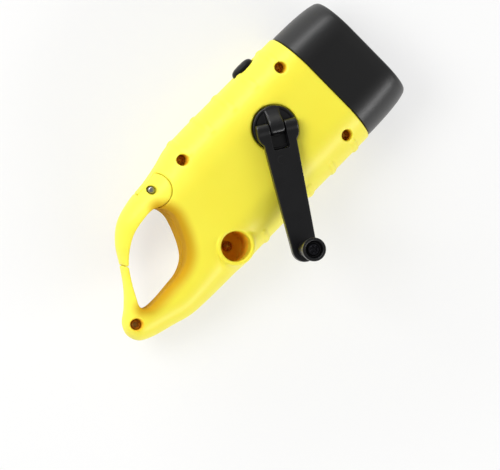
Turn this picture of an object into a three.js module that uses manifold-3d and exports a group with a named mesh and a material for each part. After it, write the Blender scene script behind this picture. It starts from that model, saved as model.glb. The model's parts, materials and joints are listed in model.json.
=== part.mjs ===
// A hand crank flashlight that lies on its back with the crank side up.
// Millimetres. +X runs to the lens, +Y to the switch and the gate, and +Z out of the crank side.
// The origin is on the flat of the rear shell, under the middle of the length and the width.
import * as THREE from "three";
import { mergeVertices } from "three/addons/utils/BufferGeometryUtils.js";
import Module from "manifold-3d";

const wasm = await Module();
wasm.setup();

// Case
const halfLength = 68;
const halfWidth = 25;
const halfDepth = 18;
const wall = 2.2;
const edgeRound = 16;
const edgeLimitShare = 0.64;
const tailHalfDepth = 8.5;
const tailEdgeRound = 8.5;
const partingGap = 0.3;
const fit = 0.3;
const overrun = 150;
const bezelSeamShare = 0.682;
const deepFromShare = -0.07;
const slimFromShare = -0.74;

// The plan outline runs from the switch side round the tail, in shares of half length and half width.
const outlineShares = [
  [1.4, 1],
  [0.3, 1],
  [-0.06, 1],
  [-0.15, 0.984],
  [-0.241, 0.92],
  [-0.35, 0.865],
  [-0.472, 0.835],
  [-0.6, 0.735],
  [-0.69, 0.53],
  [-0.754, 0.263],
  [-0.823, -0.003],
  [-0.899, -0.216],
  [-0.964, -0.36],
  [-0.988, -0.52],
  [-0.968, -0.69],
  [-0.909, -0.79],
  [-0.762, -0.908],
  [-0.676, -0.975],
  [-0.57, -1],
  [0.3, -1],
  [1.4, -1],
];
const stationShares = [
  0.002, 0.01, 0.025, 0.045, 0.07, 0.1, 0.135, 0.17, 0.21, 0.25, 0.29, 0.33, 0.37, 0.41, 0.45, 0.49, 0.53,
  0.57,
];

// Grip ribs, on both sides
const ribWidth = 2;
const ribProud = 0.5;
const ribReachShare = 0.78;
const ribShares = [-0.1, 0.078, 0.243, 0.412, 0.582];

// Carabiner: the opening and the gate, in shares of half length and half width
const pivotShare = [-0.363, 0.74];
const gateEndShare = [-0.74, 0.21];
const gateOuterShares = [
  [-0.7, 1],
  [-0.363, 1.3],
];
const openingGateShares = [
  [-0.413, 0.516],
  [-0.429, 0.539],
  [-0.448, 0.547],
  [-0.5, 0.536],
  [-0.588, 0.48],
  [-0.656, 0.374],
  [-0.726, 0.197],
  [-0.772, 0.02],
  [-0.819, -0.193],
  [-0.844, -0.328],
  [-0.842, -0.382],
];
const openingBodyShares = [
  [-0.842, -0.382],
  [-0.81, -0.44],
  [-0.756, -0.452],
  [-0.654, -0.436],
  [-0.559, -0.412],
  [-0.487, -0.32],
  [-0.44, -0.164],
  [-0.396, 0.088],
  [-0.378, 0.268],
  [-0.387, 0.41],
  [-0.413, 0.516],
];
const gateHeadRadius = 6.5;
const gateGap = 0.3;
const lugRadius = 4.6;
const lugHalfHeight = 4;
const gatePinRadius = 1.25;
const gatePinHole = 1.6;
const gatePinHalfLength = 8;
const gateTurn = 13;
const gateJointTurns = [32, 12, 4, -4, -12];
const webTurns = [-70, 75];
const webMargin = 23;
const springWire = 0.3;
const springRadius = 1.95;
const springTurns = 2;
const springPitch = 1;
const springFloor = 0.9;

// Hollow of the case, in the same shares
const hollowShares = [
  [1.2, 1.2],
  [-0.21, 1.2],
  [-0.21, 0.56],
  [-0.25, 0.44],
  [-0.33, 0.3],
  [-0.345, 0.06],
  [-0.38, -0.2],
  [-0.43, -0.42],
  [-0.53, -0.54],
  [-0.66, -0.57],
  [-0.76, -0.6],
  [-0.82, -0.75],
  [-0.82, -1.2],
  [1.2, -1.2],
];

// Crank
const hubShare = [0.3235, 0.148];
const recessRadius = 8.65;
const recessDepth = 2.5;
const recessFloor = 1.8;
const hubRadius = 8.2;
const hubThickness = 2.5;
const spindleRadius = 3;
const spindleSides = 6;
const bushRadius = 5.3;
const bushDrop = 4.5;
const hingeRise = 2.6;
const knuckleRadius = 2.3;
const knuckleWidth = 5.4;
const knuckleBack = 7.4;
const hingePinRadius = 1;
const hingePinLength = 14.2;
const crankRadius = 45;
const armTurn = THREE.MathUtils.degToRad(238);
const armThickness = 3.6;
const forkWidth = 15.2;
const forkSlot = 6;
const forkReach = 7.8;
const forkShoulder = 5.4;
const armWidth = 12.2;
const armEndWidth = 9.2;
const knobBaseRadius = 2.9;
const knobTipRadius = 4.3;
const knobLength = 17.6;
const knobShares = [
  [0, 0],
  [0.25, 0.06],
  [0.62, 0.5],
  [0.88, 1],
  [0.97, 1],
];
const knobDish = 2.2;
const knobDishRadius = 3;
const knobBore = 1.6;

// Pocket that takes the knob when the crank is folded away
const pocketShare = [-0.266, -0.672];
const pocketRadius = 5.5;
const pocketCollar = 7;
const pocketSocket = 6.5;
const pocketRim = 2;
const pocketDepth = 19;
const pocketFloor = 2;

// Case screws
const screwShares = [
  [0.578, 0.688],
  [0.578, -0.688],
  [-0.14, 0.748],
  [-0.922, -0.484],
];
const headScrewSink = 7.6;
const sideScrewSink = 8;
const tailScrewSink = 4;
const screwSinks = [headScrewSink, headScrewSink, sideScrewSink, tailScrewSink];
const screwHeadRadius = 1.8;
const screwHeadHeight = 1.6;
const screwShank = 1.05;
const screwHole = 1.3;
const screwWell = 2.1;
const screwBoss = 3.5;
const screwReach = 13;
const tailScrewReach = 9;
const smallHeadRadius = 1.6;
const smallHeadHeight = 0.6;
const smallShank = 0.75;
const smallHole = 1;
const smallReach = 5;

// Bezel, lens and reflector
const bezelLength = 21.1;
const bezelSeam = 0.3;
const bezelInset = 0.4;
const bezelWall = 1.8;
const bezelTaperShares = [
  [0, 0],
  [0.06, 0.02],
  [0.5, 0.12],
  [0.8, 0.38],
  [0.95, 0.68],
  [1, 1],
];
const bezelTaper = 2.6;
const neckReach = 3;
const neckOverlap = 3;
const neckWall = 1.3;
const lensInset = 4.2;
const lensThickness = 1.6;
const lensSet = 1.5;
const lensLip = 1.1;
const reflectorFlange = 1.2;
const bowlMargin = 0.9;
const bowlGap = 0.4;
const bowlWall = 0.8;
const lampSides = [-1, 0, 1];
const ledRadius = 2.5;
const ledFlangeRadius = 2.9;
const ledFlange = 1;
const ledLength = 7.6;
const ledHole = 3.2;
const ledBoardThickness = 1.4;
const ledBoardInset = 2.6;

// Switch
const switchShare = 0.456;
const buttonHalfLength = 4.7;
const buttonHalfHeight = 3.5;
const buttonProud = 1.9;
const buttonFlange = 0.8;
const buttonFlangeThickness = 1.2;
const buttonTravel = 1;
const buttonStemRadius = 1.6;
const stemReach = 3;
const tactWidth = 6;
const tactDepth = 4;
const tactHeight = 4.4;
const tactEntry = 0.7;
const tactRoom = 0.9;

// Gear train, its modules in shares of the half width, or of the length where that leaves less room
const gearThickness = 3;
const layerStep = 4;
const trainSpanShare = 0.3677;
const moduleShares = [0.032, 0.032, 0.024];
const wheelTeeth = [36, 28, 32];
const pinionTeeth = 10;
const pressureAngle = THREE.MathUtils.degToRad(25);
const addendumShare = 0.8;
const dedendumShare = 1;
const backlashShare = 0.24;
const meshTurns = [190, 180, 330].map(THREE.MathUtils.degToRad);
const axleRadius = 1;
const axleFit = 0.2;
const gearHub = 2.2;
const plateThickness = 1.5;
const plateGap = 0.9;
const pillarRadius = 1.6;
const pillarShares = [
  [0.1, -0.52],
  [-0.06, 0.52],
  [0.4, -0.52],
];
const baseScrewShares = [
  [-0.14, 0.504],
  [0.24, -0.46],
  [0.3, 0.56],
];
const baseShares = [
  [-0.22, -0.14],
  [-0.22, 0.34],
  [-0.185, 0.58],
  [-0.1, 0.58],
  [-0.06, 0.63],
  [0.32, 0.66],
  [0.37, 0.5],
  [0.37, -0.36],
  [0.432, -0.44],
  [0.432, -0.62],
  [0.1, -0.63],
  [-0.05, -0.5],
];
const coverShares = [
  [-0.215, -0.18],
  [-0.215, 0.22],
  [-0.1, 0.61],
  [0.32, 0.61],
  [0.432, 0.1],
  [0.432, -0.6],
  [0.06, -0.61],
];

// Generator
const generatorRoom = 5.4;
const generatorRise = 3.8;
const generatorSeat = 3.5;
const generatorWall = 0.8;
const coilThickness = 2.4;
const rotorGap = 0.9;
const rotorRise = 1.4;
const shaftRadius = 1;

// Battery, board and wires
const cellRadius = 5.6;
const cellLength = 17.4;
const cellShare = 0.537;
const boardThickness = 1.2;
const boardShares = [
  [0.447, -0.52],
  [0.6, -0.52],
  [0.655, -0.4],
  [0.655, 0.4],
  [0.515, 0.42],
  [0.515, 0.78],
  [0.395, 0.78],
  [0.395, 0.56],
  [0.447, 0.5],
];
const boardPostShares = [
  [0.646, 0.36],
  [0.56, -0.46],
];
const boardPostRadius = 1.5;
const wireRadius = 0.6;
const wireSpacing = 3;
const wireTurns = [-6, 6];
const wireSides = 6;

// Sizes that follow; the rounding of the long edges is limited by the case's width
const sideRound = Math.min(edgeRound, halfWidth * edgeLimitShare);
const seamX = halfLength * bezelSeamShare;
const middle = halfDepth;
const top = 2 * halfDepth;
const bezelStart = seamX + bezelSeam;
const bezelEnd = bezelStart + bezelLength;
const lensFront = bezelEnd - lensSet;
const lensBack = lensFront - lensThickness;
const neckEnd = seamX + neckReach;
const ledBoardBack = neckEnd + fit;
const ledBoardFront = ledBoardBack + ledBoardThickness;
const hub = at(hubShare);
const pivot = at(pivotShare);
const pocket = at(pocketShare);
const recessZ = top - recessDepth;
const hubLow = recessZ + fit;
const hubTop = hubLow + hubThickness;
const hingeZ = hubTop + hingeRise;
const driveTop = recessZ - bushDrop - fit;
const layerTops = [0, 1, 2].map((layer) => driveTop - layer * layerStep);
const coverLow = driveTop + plateGap;
const baseTop = layerTops[2] - gearThickness - plateGap;
const baseLow = baseTop - plateThickness;
const generatorLow = wall + generatorRise;
const boardTop = middle - tactHeight / 2 - fit;
const boardLow = boardTop - boardThickness;
const stemTip = halfWidth - wall - fit - buttonFlangeThickness - stemReach;
const pocketTop = top - pocketRim;
const pocketBottom = pocketTop - pocketDepth;
const bowlRadius = (halfWidth - lensInset - bowlMargin - bowlGap) / lampSides.length;
const bowlSpacing = 2 * bowlRadius + bowlGap;
const trainSpan = Math.min(halfWidth, halfLength * trainSpanShare);
const stageModules = moduleShares.map((share) => share * trainSpan);
const pillarPlaces = pillarShares.map(inTrain);
const baseScrewPlaces = baseScrewShares.map(inTrain);
const centres = gearCentres();
const generatorRadius = trainSpan - wall - Math.abs(centres[3].y) - generatorRoom;
const coilRadius = generatorRadius - generatorWall - fit;
const magnetRadius = coilRadius - coilThickness - rotorGap;

// A point of the plan from its shares of half length and half width.
function at([alongShare, acrossShare]) {
  return new THREE.Vector2(alongShare * halfLength, acrossShare * halfWidth);
}

// The same for what carries the gears, whose width follows the gears.
function inTrain([alongShare, acrossShare]) {
  return new THREE.Vector2(alongShare * halfLength, acrossShare * trainSpan);
}

// The hub's axis, then the axes of the two compound gears and of the rotor.
function gearCentres() {
  const list = [at(hubShare)];
  stageModules.forEach((module, stage) => {
    const reach = (module * (wheelTeeth[stage] + pinionTeeth)) / 2;
    const turn = new THREE.Vector2(Math.cos(meshTurns[stage]), Math.sin(meshTurns[stage]));
    list.push(turn.multiplyScalar(reach).add(list[stage]));
  });
  return list;
}

// Solids

function solidOf(geometry) {
  const plain = geometry.clone();
  plain.deleteAttribute("normal");
  plain.deleteAttribute("uv");
  const merged = mergeVertices(plain);
  return new wasm.Manifold(
    new wasm.Mesh({
      numProp: 3,
      vertProperties: merged.attributes.position.array,
      triVerts: new Uint32Array(merged.index.array),
    }),
  );
}

function geometryOf(solid) {
  const data = solid.getMesh();
  const geometry = new THREE.BufferGeometry();
  geometry.setAttribute("position", new THREE.BufferAttribute(data.vertProperties, data.numProp));
  geometry.setIndex(new THREE.BufferAttribute(data.triVerts, 1));
  geometry.computeVertexNormals();
  return geometry;
}

function joined(solids) {
  return solids.reduce((sum, solid) => sum.add(solid));
}

// A plan outline carried straight up from one height to another.
function prism(points, low, high) {
  const geometry = new THREE.ExtrudeGeometry(new THREE.Shape(points), {
    depth: high - low,
    bevelEnabled: false,
  });
  return solidOf(geometry.translate(0, 0, low));
}

function drum(centre, radius, low, high, sides = 24) {
  const geometry = new THREE.CylinderGeometry(radius, radius, high - low, sides);
  geometry.rotateX(Math.PI / 2);
  return solidOf(geometry.translate(centre.x, centre.y, (low + high) / 2));
}

function block(low, high) {
  const size = high.map((value, axis) => value - low[axis]);
  const geometry = new THREE.BoxGeometry(...size);
  return solidOf(geometry.translate(...low.map((value, axis) => value + size[axis] / 2)));
}

// A profile of radii and heights, turned about Z from its lowest point on the axis to its highest.
function turnedGeometry(profile, sides = 24) {
  const points = profile.map(([radius, height]) => new THREE.Vector2(radius, height));
  return new THREE.LatheGeometry(points, sides).rotateX(Math.PI / 2);
}

// Rings with the same number of points, skinned in order and closed by a fan at each end.
function loft(rings) {
  const count = rings[0].length;
  const points = rings.flat();
  const index = [];
  for (let ring = 0; ring + 1 < rings.length; ring++) {
    for (let step = 0; step < count; step++) {
      const here = ring * count + step;
      const next = ring * count + ((step + 1) % count);
      index.push(here, next + count, next, here, here + count, next + count);
    }
  }
  const last = (rings.length - 1) * count;
  for (let step = 1; step + 1 < count; step++) {
    index.push(0, step, step + 1);
    index.push(last, last + step + 1, last + step);
  }
  const geometry = new THREE.BufferGeometry().setFromPoints(points);
  return solidOf(geometry.setIndex(index));
}

// Case form

const outline = new THREE.CatmullRomCurve3(
  outlineShares.map((share) => new THREE.Vector3(at(share).x, at(share).y, 0)),
  false,
  "centripetal",
);

// The plan outline moved outwards by a distance.
function grownOutline(grow) {
  const samples = 220;
  const points = [];
  for (let step = 0; step <= samples; step++) {
    const point = outline.getPoint(step / samples);
    const tangent = outline.getTangent(step / samples);
    points.push(new THREE.Vector2(point.x + tangent.y * grow, point.y - tangent.x * grow));
  }
  return points;
}

function distanceTo(points, x, y) {
  const here = new THREE.Vector3(x, y, 0);
  const near = new THREE.Vector3();
  const edge = new THREE.Line3();
  let least = Infinity;
  for (let step = 0; step + 1 < points.length; step++) {
    edge.start.set(points[step].x, points[step].y, 0);
    edge.end.set(points[step + 1].x, points[step + 1].y, 0);
    edge.closestPointToPoint(here, true, near);
    least = Math.min(least, near.distanceTo(here));
  }
  return least;
}

// The lowest and highest Y where the outline crosses a station.
function spanAt(points, x) {
  const crossings = [];
  for (let step = 0; step + 1 < points.length; step++) {
    const a = points[step];
    const b = points[step + 1];
    if ((a.x - x) * (b.x - x) > 0 || a.x === b.x) continue;
    crossings.push(a.y + ((x - a.x) / (b.x - a.x)) * (b.y - a.y));
  }
  return [Math.min(...crossings), Math.max(...crossings)];
}

// The case is deep along the body and slims smoothly to the tail.
function depthShare(x) {
  const share = (x - slimFromShare * halfLength) / ((deepFromShare - slimFromShare) * halfLength);
  return THREE.MathUtils.smoothstep(share, 0, 1);
}

// A cross-section of the case: flat in the middle, and a quarter of an ellipse down to each edge.
function sectionRing(points, x, grow) {
  const [low, high] = spanAt(points, x);
  const round = THREE.MathUtils.lerp(tailEdgeRound, sideRound, depthShare(x)) + grow;
  const depth = THREE.MathUtils.lerp(tailHalfDepth, halfDepth, depthShare(x)) + grow;
  const reach = Math.min(round, (high - low) / 2);
  const steps = sectionTurns.map((turn) => reach * (1 - Math.cos(turn)));
  const across = [...steps.map((step) => low + step), ...steps.map((step) => high - step).reverse()];
  const upper = across.map((y) => {
    const inward = Math.min(1, distanceTo(points, x, y) / round);
    return new THREE.Vector3(x, y, middle + depth * Math.sqrt(1 - (1 - inward) ** 2));
  });
  upper[0].z = middle;
  upper[upper.length - 1].z = middle;
  const lower = upper.slice(1, -1).map((point) => new THREE.Vector3(x, point.y, 2 * middle - point.z));
  return [...upper, ...lower.reverse()];
}

const sectionTurns = [0, 20, 42, 65, 90].map(THREE.MathUtils.degToRad);

// The case's form from the tail to an end station, grown by a distance.
function caseForm(grow, end) {
  const points = grownOutline(grow);
  const tip = Math.min(...points.map((point) => point.x));
  const stations = stationShares.map((share) => tip + share * (seamX - tip));
  return loft([...stations, end].map((x) => sectionRing(points, x, grow)));
}

// A straight piece of the head with the case's section: pairs of station and growth.
function headForm(pairs) {
  return loft(pairs.map(([x, grow]) => headRing(x, grow)));
}

function headRing(x, grow) {
  const quarter = sectionTurns.map((turn) => [
    halfWidth + grow - (sideRound + grow) * (1 - Math.cos(turn)),
    (halfDepth + grow) * Math.sin(turn),
  ]);
  const upper = [
    ...quarter.map(([y, z]) => new THREE.Vector3(x, -y, middle + z)),
    ...quarter.map(([y, z]) => new THREE.Vector3(x, y, middle + z)).reverse(),
  ];
  const lower = upper.slice(1, -1).map((point) => new THREE.Vector3(x, point.y, 2 * middle - point.z));
  return [...upper, ...lower.reverse()];
}

// Height of the case's crank side over a point of the plan.
function surfaceAt(point) {
  const share = depthShare(point.x);
  const round = THREE.MathUtils.lerp(tailEdgeRound, sideRound, share);
  const depth = THREE.MathUtils.lerp(tailHalfDepth, halfDepth, share);
  const inward = Math.min(1, distanceTo(grownOutline(0), point.x, point.y) / round);
  return middle + depth * Math.sqrt(1 - (1 - inward) ** 2);
}

// A round bar that lies along Y.
function crossDrum(x, z, radius, low, high, sides = 16) {
  const geometry = new THREE.CylinderGeometry(radius, radius, high - low, sides);
  return solidOf(geometry.translate(x, (low + high) / 2, z));
}

// An oval bar along Y through the switch: rows of Y and growth of the button's outline.
function switchForm(rows) {
  const centre = new THREE.Vector2(halfLength * switchShare, middle);
  const oval = rows.map(([y, grow]) => {
    const curve = new THREE.EllipseCurve(
      centre.x,
      centre.y,
      buttonHalfLength + grow,
      buttonHalfHeight + grow,
    );
    const points = curve.getPoints(16).slice(0, -1);
    return points.map((point) => new THREE.Vector3(point.x, y, point.y));
  });
  return loft(oval);
}

// Smooth curves through rows of shares, one after the other, as one closed outline.
function openingOutline() {
  const halves = [openingGateShares, openingBodyShares].map((shares) => {
    const curve = new THREE.CatmullRomCurve3(
      shares.map((share) => new THREE.Vector3(at(share).x, at(share).y, 0)),
      false,
      "centripetal",
    );
    return curve.getPoints(11).slice(0, -1);
  });
  return halves.flat().map((point) => new THREE.Vector2(point.x, point.y));
}

function polar(centre, radius, degrees) {
  const turn = THREE.MathUtils.degToRad(degrees);
  return new THREE.Vector2(centre.x + radius * Math.cos(turn), centre.y + radius * Math.sin(turn));
}

// The plan of the gate: a round head about the pivot, and the arm as far as the end joint.
function gateRegion(gap) {
  const end = at(gateEndShare);
  const reach = pivot.distanceTo(end) + gap;
  const turn = THREE.MathUtils.radToDeg(Math.atan2(end.y - pivot.y, end.x - pivot.x));
  const joint = gateJointTurns.map((step) => polar(pivot, reach, turn + step));
  const arm = [pivot, ...joint, ...gateOuterShares.map(at)];
  return drum(pivot, gateHeadRadius + gap, -overrun, overrun, 32).add(
    prism(ordered(arm), -overrun, overrun),
  );
}

function ordered(points) {
  return THREE.ShapeUtils.isClockWise(points) ? [...points].reverse() : points;
}

// The body's half of the hinge: a round lug about the pivot and the web that carries it.
function lug(gap, from, to) {
  const reach = 2 * gateHeadRadius;
  const web = [pivot, ...[from, (from + to) / 2, to].map((degrees) => polar(pivot, reach, degrees))];
  return drum(pivot, lugRadius + gap, middle - lugHalfHeight - gap, middle + lugHalfHeight + gap).add(
    prism(web, middle - lugHalfHeight - gap, middle + lugHalfHeight + gap),
  );
}

function gripRibs() {
  const inner = halfWidth * ribReachShare;
  const bars = ribShares.flatMap((share) => {
    const x = share * halfLength;
    return [
      block([x - ribWidth / 2, inner, 0], [x + ribWidth / 2, overrun, top]),
      block([x - ribWidth / 2, -overrun, 0], [x + ribWidth / 2, -inner, top]),
    ];
  });
  return caseForm(ribProud, seamX).intersect(joined(bars));
}

function neck() {
  const wide = -(bezelInset + bezelWall + fit);
  const narrow = wide - neckWall;
  const back = seamX - neckOverlap;
  const ring = headForm([[back, -wall / 2], [seamX, -wall / 2]]).add(
    headForm([[back, wide], [neckEnd, wide]]),
  );
  return ring.subtract(headForm([[back - fit, narrow], [neckEnd + fit, narrow]]));
}

const outer = caseForm(0, seamX);
const opening = prism(ordered(openingOutline()), -overrun, overrun);

// Both halves of the case before they are parted: a skin with its neck, opening and gate seat.
function caseStock() {
  const hollow = caseForm(-wall, seamX + wall).intersect(
    prism(ordered(hollowShares.map(at)), -overrun, overrun),
  );
  const skin = outer.add(gripRibs()).subtract(hollow).add(neck());
  const seat = gateRegion(gateGap).subtract(lug(0, ...webTurns));
  const face = halfWidth - wall;
  const window = switchForm([[0, fit], [overrun, fit]]).add(
    switchForm([[face - 2 * buttonFlangeThickness, buttonFlange + fit], [face, buttonFlange + fit]]),
  );
  const pinHole = drum(pivot, gatePinHole, 0, top, 12);
  return skin.subtract(joined([opening, seat, pinHole, window]));
}

const stock = caseStock();
const screws = screwShares.map((share, number) => {
  const place = at(share);
  return { place, seat: surfaceAt(place) - screwSinks[number] };
});

function frontShell() {
  const low = middle + partingGap / 2;
  const bosses = screws.slice(0, 3).map(({ place }) => drum(place, screwBoss, low, top, 14));
  const pan = drum(hub, recessRadius + recessFloor, recessZ - recessFloor, top, 24);
  const bush = drum(hub, bushRadius, recessZ - bushDrop, top, 18);
  const inside = joined([...bosses, pan, bush]).intersect(outer).subtract(opening);
  const tube = drum(pocket, pocketCollar, low, pocketTop, 22).add(
    drum(pocket, pocketSocket, pocketBottom - pocketFloor, middle + wall, 22),
  );
  const upper = stock.add(inside).intersect(block([-overrun, -overrun, low], [overrun, overrun, overrun]));
  const holes = screws.flatMap(({ place, seat }) => [
    drum(place, screwWell, seat, overrun, 12),
    drum(place, screwHole, 0, overrun, 8),
  ]);
  const cuts = [
    ...holes,
    drum(hub, recessRadius, recessZ, overrun, 28),
    drum(hub, spindleRadius + fit, 0, overrun, 18),
    drum(pocket, pocketRadius, pocketBottom, overrun, 22),
    drum(pocket, screwHole, 0, overrun, 8),
  ];
  return upper.add(tube).subtract(joined(cuts));
}

function rearShell() {
  const high = middle - partingGap / 2;
  const bosses = screws.slice(0, 3).map(({ place }) => drum(place, screwBoss, 0, high, 14));
  const pocketBoss = drum(pocket, screwBoss, 0, pocketBottom - pocketFloor - fit, 14);
  const basePosts = baseScrewPlaces.map((place) => drum(place, smallHeadRadius, 0, baseLow - fit, 10));
  const boardPosts = boardPostShares.map((share) =>
    drum(at(share), boardPostRadius, 0, boardLow - fit, 10),
  );
  const seat = drum(centres[3], generatorSeat, 0, generatorLow - fit, 14);
  const inside = joined([...bosses, pocketBoss, ...basePosts, ...boardPosts, seat]).intersect(outer);
  const lower = stock.add(inside).intersect(block([-overrun, -overrun, -overrun], [overrun, overrun, high]));
  const cuts = [
    ...screws.map(({ place, seat: from }, number) =>
      drum(place, screwHole, from - reachOf(number) - fit, overrun, 8),
    ),
    drum(pocket, pocketSocket + fit, pocketBottom - pocketFloor - fit, overrun, 22),
    drum(pocket, screwHole, pocketBottom - tailScrewReach - fit, overrun, 8),
    ...baseScrewPlaces.map((place) => drum(place, smallHole, baseTop - smallReach, overrun, 8)),
    drum(centres[3], shaftRadius + axleFit, generatorLow - rotorRise, overrun, 10),
    drum(pivot, springRadius + springWire + fit, middle - lugHalfHeight + springFloor, overrun, 16),
  ];
  return lower.subtract(joined(cuts));
}

function reachOf(number) {
  return number < 3 ? screwReach : tailScrewReach;
}

// The gate's slot leaves the lug's web free through the gate's whole turn.
function carabinerGate() {
  const slot = lug(fit, webTurns[0] - gateTurn - webMargin, webTurns[1] + webMargin);
  return outer
    .intersect(gateRegion(0))
    .subtract(opening)
    .subtract(slot)
    .subtract(drum(pivot, gatePinHole, 0, top, 12));
}

// A torsion spring about the gate's pin, wound from a round wire.
function gateSpring() {
  const steps = 8 * springTurns;
  const low = middle - lugHalfHeight + springFloor + springWire + fit;
  const points = Array.from({ length: steps + 1 }, (_, step) => {
    const turn = (2 * Math.PI * step) / 8;
    return new THREE.Vector3(
      pivot.x + springRadius * Math.cos(turn),
      pivot.y + springRadius * Math.sin(turn),
      low + (springPitch * step) / 8,
    );
  });
  return wire(points, springWire, steps, 5);
}

// A round wire along a smooth curve through points.
function wire(points, radius, steps, sides) {
  const section = new THREE.Shape(new THREE.EllipseCurve(0, 0, radius, radius).getPoints(sides).slice(0, -1));
  const path = new THREE.CatmullRomCurve3(points);
  return solidOf(new THREE.ExtrudeGeometry(section, { steps, extrudePath: path, bevelEnabled: false }));
}

// Screws: a pointed shank below the seat and a head with a cross slot above it.
function screw(place, seat, size) {
  const profile = [
    [0, -size.reach],
    [size.shank / 2, -size.reach],
    [size.shank, -size.reach + size.shank],
    [size.shank, 0],
    [size.head, 0],
    [size.head, size.height / 2],
    [size.head / 2, size.height],
    [0, size.height],
  ];
  const body = solidOf(turnedGeometry(profile, 8).translate(0, 0, seat + fit).translate(place.x, place.y, 0));
  if (!size.slot) return body;
  const slot = size.height / 5;
  const reach = size.head * 0.65;
  const low = seat + fit + size.height / 2;
  const bars = [
    block([place.x - reach, place.y - slot, low], [place.x + reach, place.y + slot, overrun]),
    block([place.x - slot, place.y - reach, low], [place.x + slot, place.y + reach, overrun]),
  ];
  return body.subtract(joined(bars));
}

function caseScrewSize(number) {
  return {
    head: screwHeadRadius,
    height: screwHeadHeight,
    shank: screwShank,
    reach: reachOf(number),
    slot: true,
  };
}

const smallScrewSize = {
  head: smallHeadRadius,
  height: smallHeadHeight,
  shank: smallShank,
  reach: smallReach - fit,
  slot: false,
};

// Crank pieces, in a frame whose X axis runs along the arm from the hub's axis

const hubCentre = new THREE.Vector2(0, 0);
const armLow = hingeZ - armThickness / 2;
const armHigh = hingeZ + armThickness / 2;
const knobLow = armHigh + fit;
const knobHigh = knobLow + knobLength;
const knobCentre = new THREE.Vector2(crankRadius, 0);

function crankHub() {
  const side = new THREE.Shape();
  side.moveTo(-knuckleBack, hubLow);
  side.lineTo(knuckleRadius, hubLow);
  side.lineTo(knuckleRadius, hingeZ);
  side.absarc(0, hingeZ, knuckleRadius, 0, THREE.MathUtils.degToRad(115), false);
  side.lineTo(-knuckleBack, hubTop);
  const knuckle = new THREE.ExtrudeGeometry(side, {
    depth: knuckleWidth,
    bevelEnabled: false,
    curveSegments: 8,
  });
  knuckle.rotateX(Math.PI / 2).translate(0, knuckleWidth / 2, 0);
  return drum(hubCentre, hubRadius, hubLow, hubTop, 36)
    .add(solidOf(knuckle))
    .add(drum(hubCentre, spindleRadius, driveTop + fit, hubLow + hubThickness / 2))
    .add(prism(spindleOutline(spindleRadius - fit, 0), driveTop - gearThickness, hubLow))
    .subtract(crossDrum(0, hingeZ, hingePinRadius + fit, -forkWidth, forkWidth))
    .subtract(drum(hubCentre, smallHole, driveTop - gearThickness - fit, driveTop + smallReach, 10));
}

function crankArm() {
  const half = armWidth / 2;
  const ear = forkWidth / 2;
  const bend = (knuckleRadius + forkShoulder) / 2;
  const plan = new THREE.Shape();
  plan.moveTo(0, -ear);
  plan.lineTo(knuckleRadius, -ear);
  plan.quadraticCurveTo(bend, -ear, forkShoulder, -half);
  plan.lineTo(crankRadius, -armEndWidth / 2);
  plan.absarc(crankRadius, 0, armEndWidth / 2, -Math.PI / 2, Math.PI / 2, false);
  plan.lineTo(forkShoulder, half);
  plan.quadraticCurveTo(bend, ear, knuckleRadius, ear);
  plan.lineTo(0, ear);
  const slab = new THREE.ExtrudeGeometry(plan, {
    depth: armThickness,
    bevelEnabled: false,
    curveSegments: 8,
  });
  return solidOf(slab.translate(0, 0, armLow))
    .add(crossDrum(0, hingeZ, knuckleRadius, -ear, ear))
    .subtract(block([-overrun, -forkSlot / 2, 0], [forkReach, forkSlot / 2, overrun]))
    .subtract(crossDrum(0, hingeZ, hingePinRadius + fit, -overrun, overrun))
    .subtract(drum(knobCentre, knobBore, 0, overrun, 12));
}

function crankKnob() {
  const side = knobShares.map(([along, out]) => [
    THREE.MathUtils.lerp(knobBaseRadius, knobTipRadius, out),
    knobLength * along,
  ]);
  const profile = [
    [knobBore, 0],
    ...side,
    [(knobTipRadius + knobDishRadius) / 2, knobLength],
    [knobDishRadius, knobLength - knobDish / 5],
    [knobDishRadius, knobLength - knobDish],
    [knobBore, knobLength - knobDish],
    [knobBore, 0],
  ];
  return solidOf(turnedGeometry(profile, 20).translate(knobCentre.x, 0, knobLow));
}

const knobScrewSize = {
  head: (knobBore + knobDishRadius) / 2,
  height: knobDish / 2,
  shank: knobBore - fit,
  reach: knobLength + armThickness / 2,
  slot: true,
};

// Gear train

// An involute tooth's half angle at a radius, with backlash taken off the pitch circle.
function toothHalfAngle(teeth, module, radius) {
  const pitch = (module * teeth) / 2;
  const base = pitch * Math.cos(pressureAngle);
  const involute = (turn) => Math.tan(turn) - turn;
  const half = (Math.PI / 2 - backlashShare / 2) / teeth;
  const here = radius > base ? involute(Math.acos(base / radius)) : 0;
  return half + involute(pressureAngle) - here;
}

function gearPlan(teeth, module, phase, bore) {
  const pitch = (module * teeth) / 2;
  const tip = pitch + addendumShare * module;
  const root = pitch - dedendumShare * module;
  const base = Math.max(root, pitch * Math.cos(pressureAngle));
  const radii = base > root ? [root, base, pitch, tip] : [root, pitch, tip];
  const points = [];
  for (let tooth = 0; tooth < teeth; tooth++) {
    const centre = phase + (2 * Math.PI * tooth) / teeth;
    const flank = radii.map((radius) => [radius, toothHalfAngle(teeth, module, radius)]);
    const both = [...flank.map(([radius, half]) => [radius, -half]), ...[...flank].reverse()];
    points.push(...both.map(([radius, turn]) => polarPoint(radius, centre + turn)));
  }
  const plan = new THREE.Shape(points);
  if (bore) plan.holes.push(new THREE.Path(bore));
  return plan;
}

function polarPoint(radius, turn) {
  return new THREE.Vector2(radius * Math.cos(turn), radius * Math.sin(turn));
}

function gearSolid(teeth, module, phase, centre, layer, bore) {
  const geometry = new THREE.ExtrudeGeometry(gearPlan(teeth, module, phase, bore), {
    depth: gearThickness,
    bevelEnabled: false,
  });
  return solidOf(geometry.translate(centre.x, centre.y, layerTops[layer] - gearThickness));
}

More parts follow.
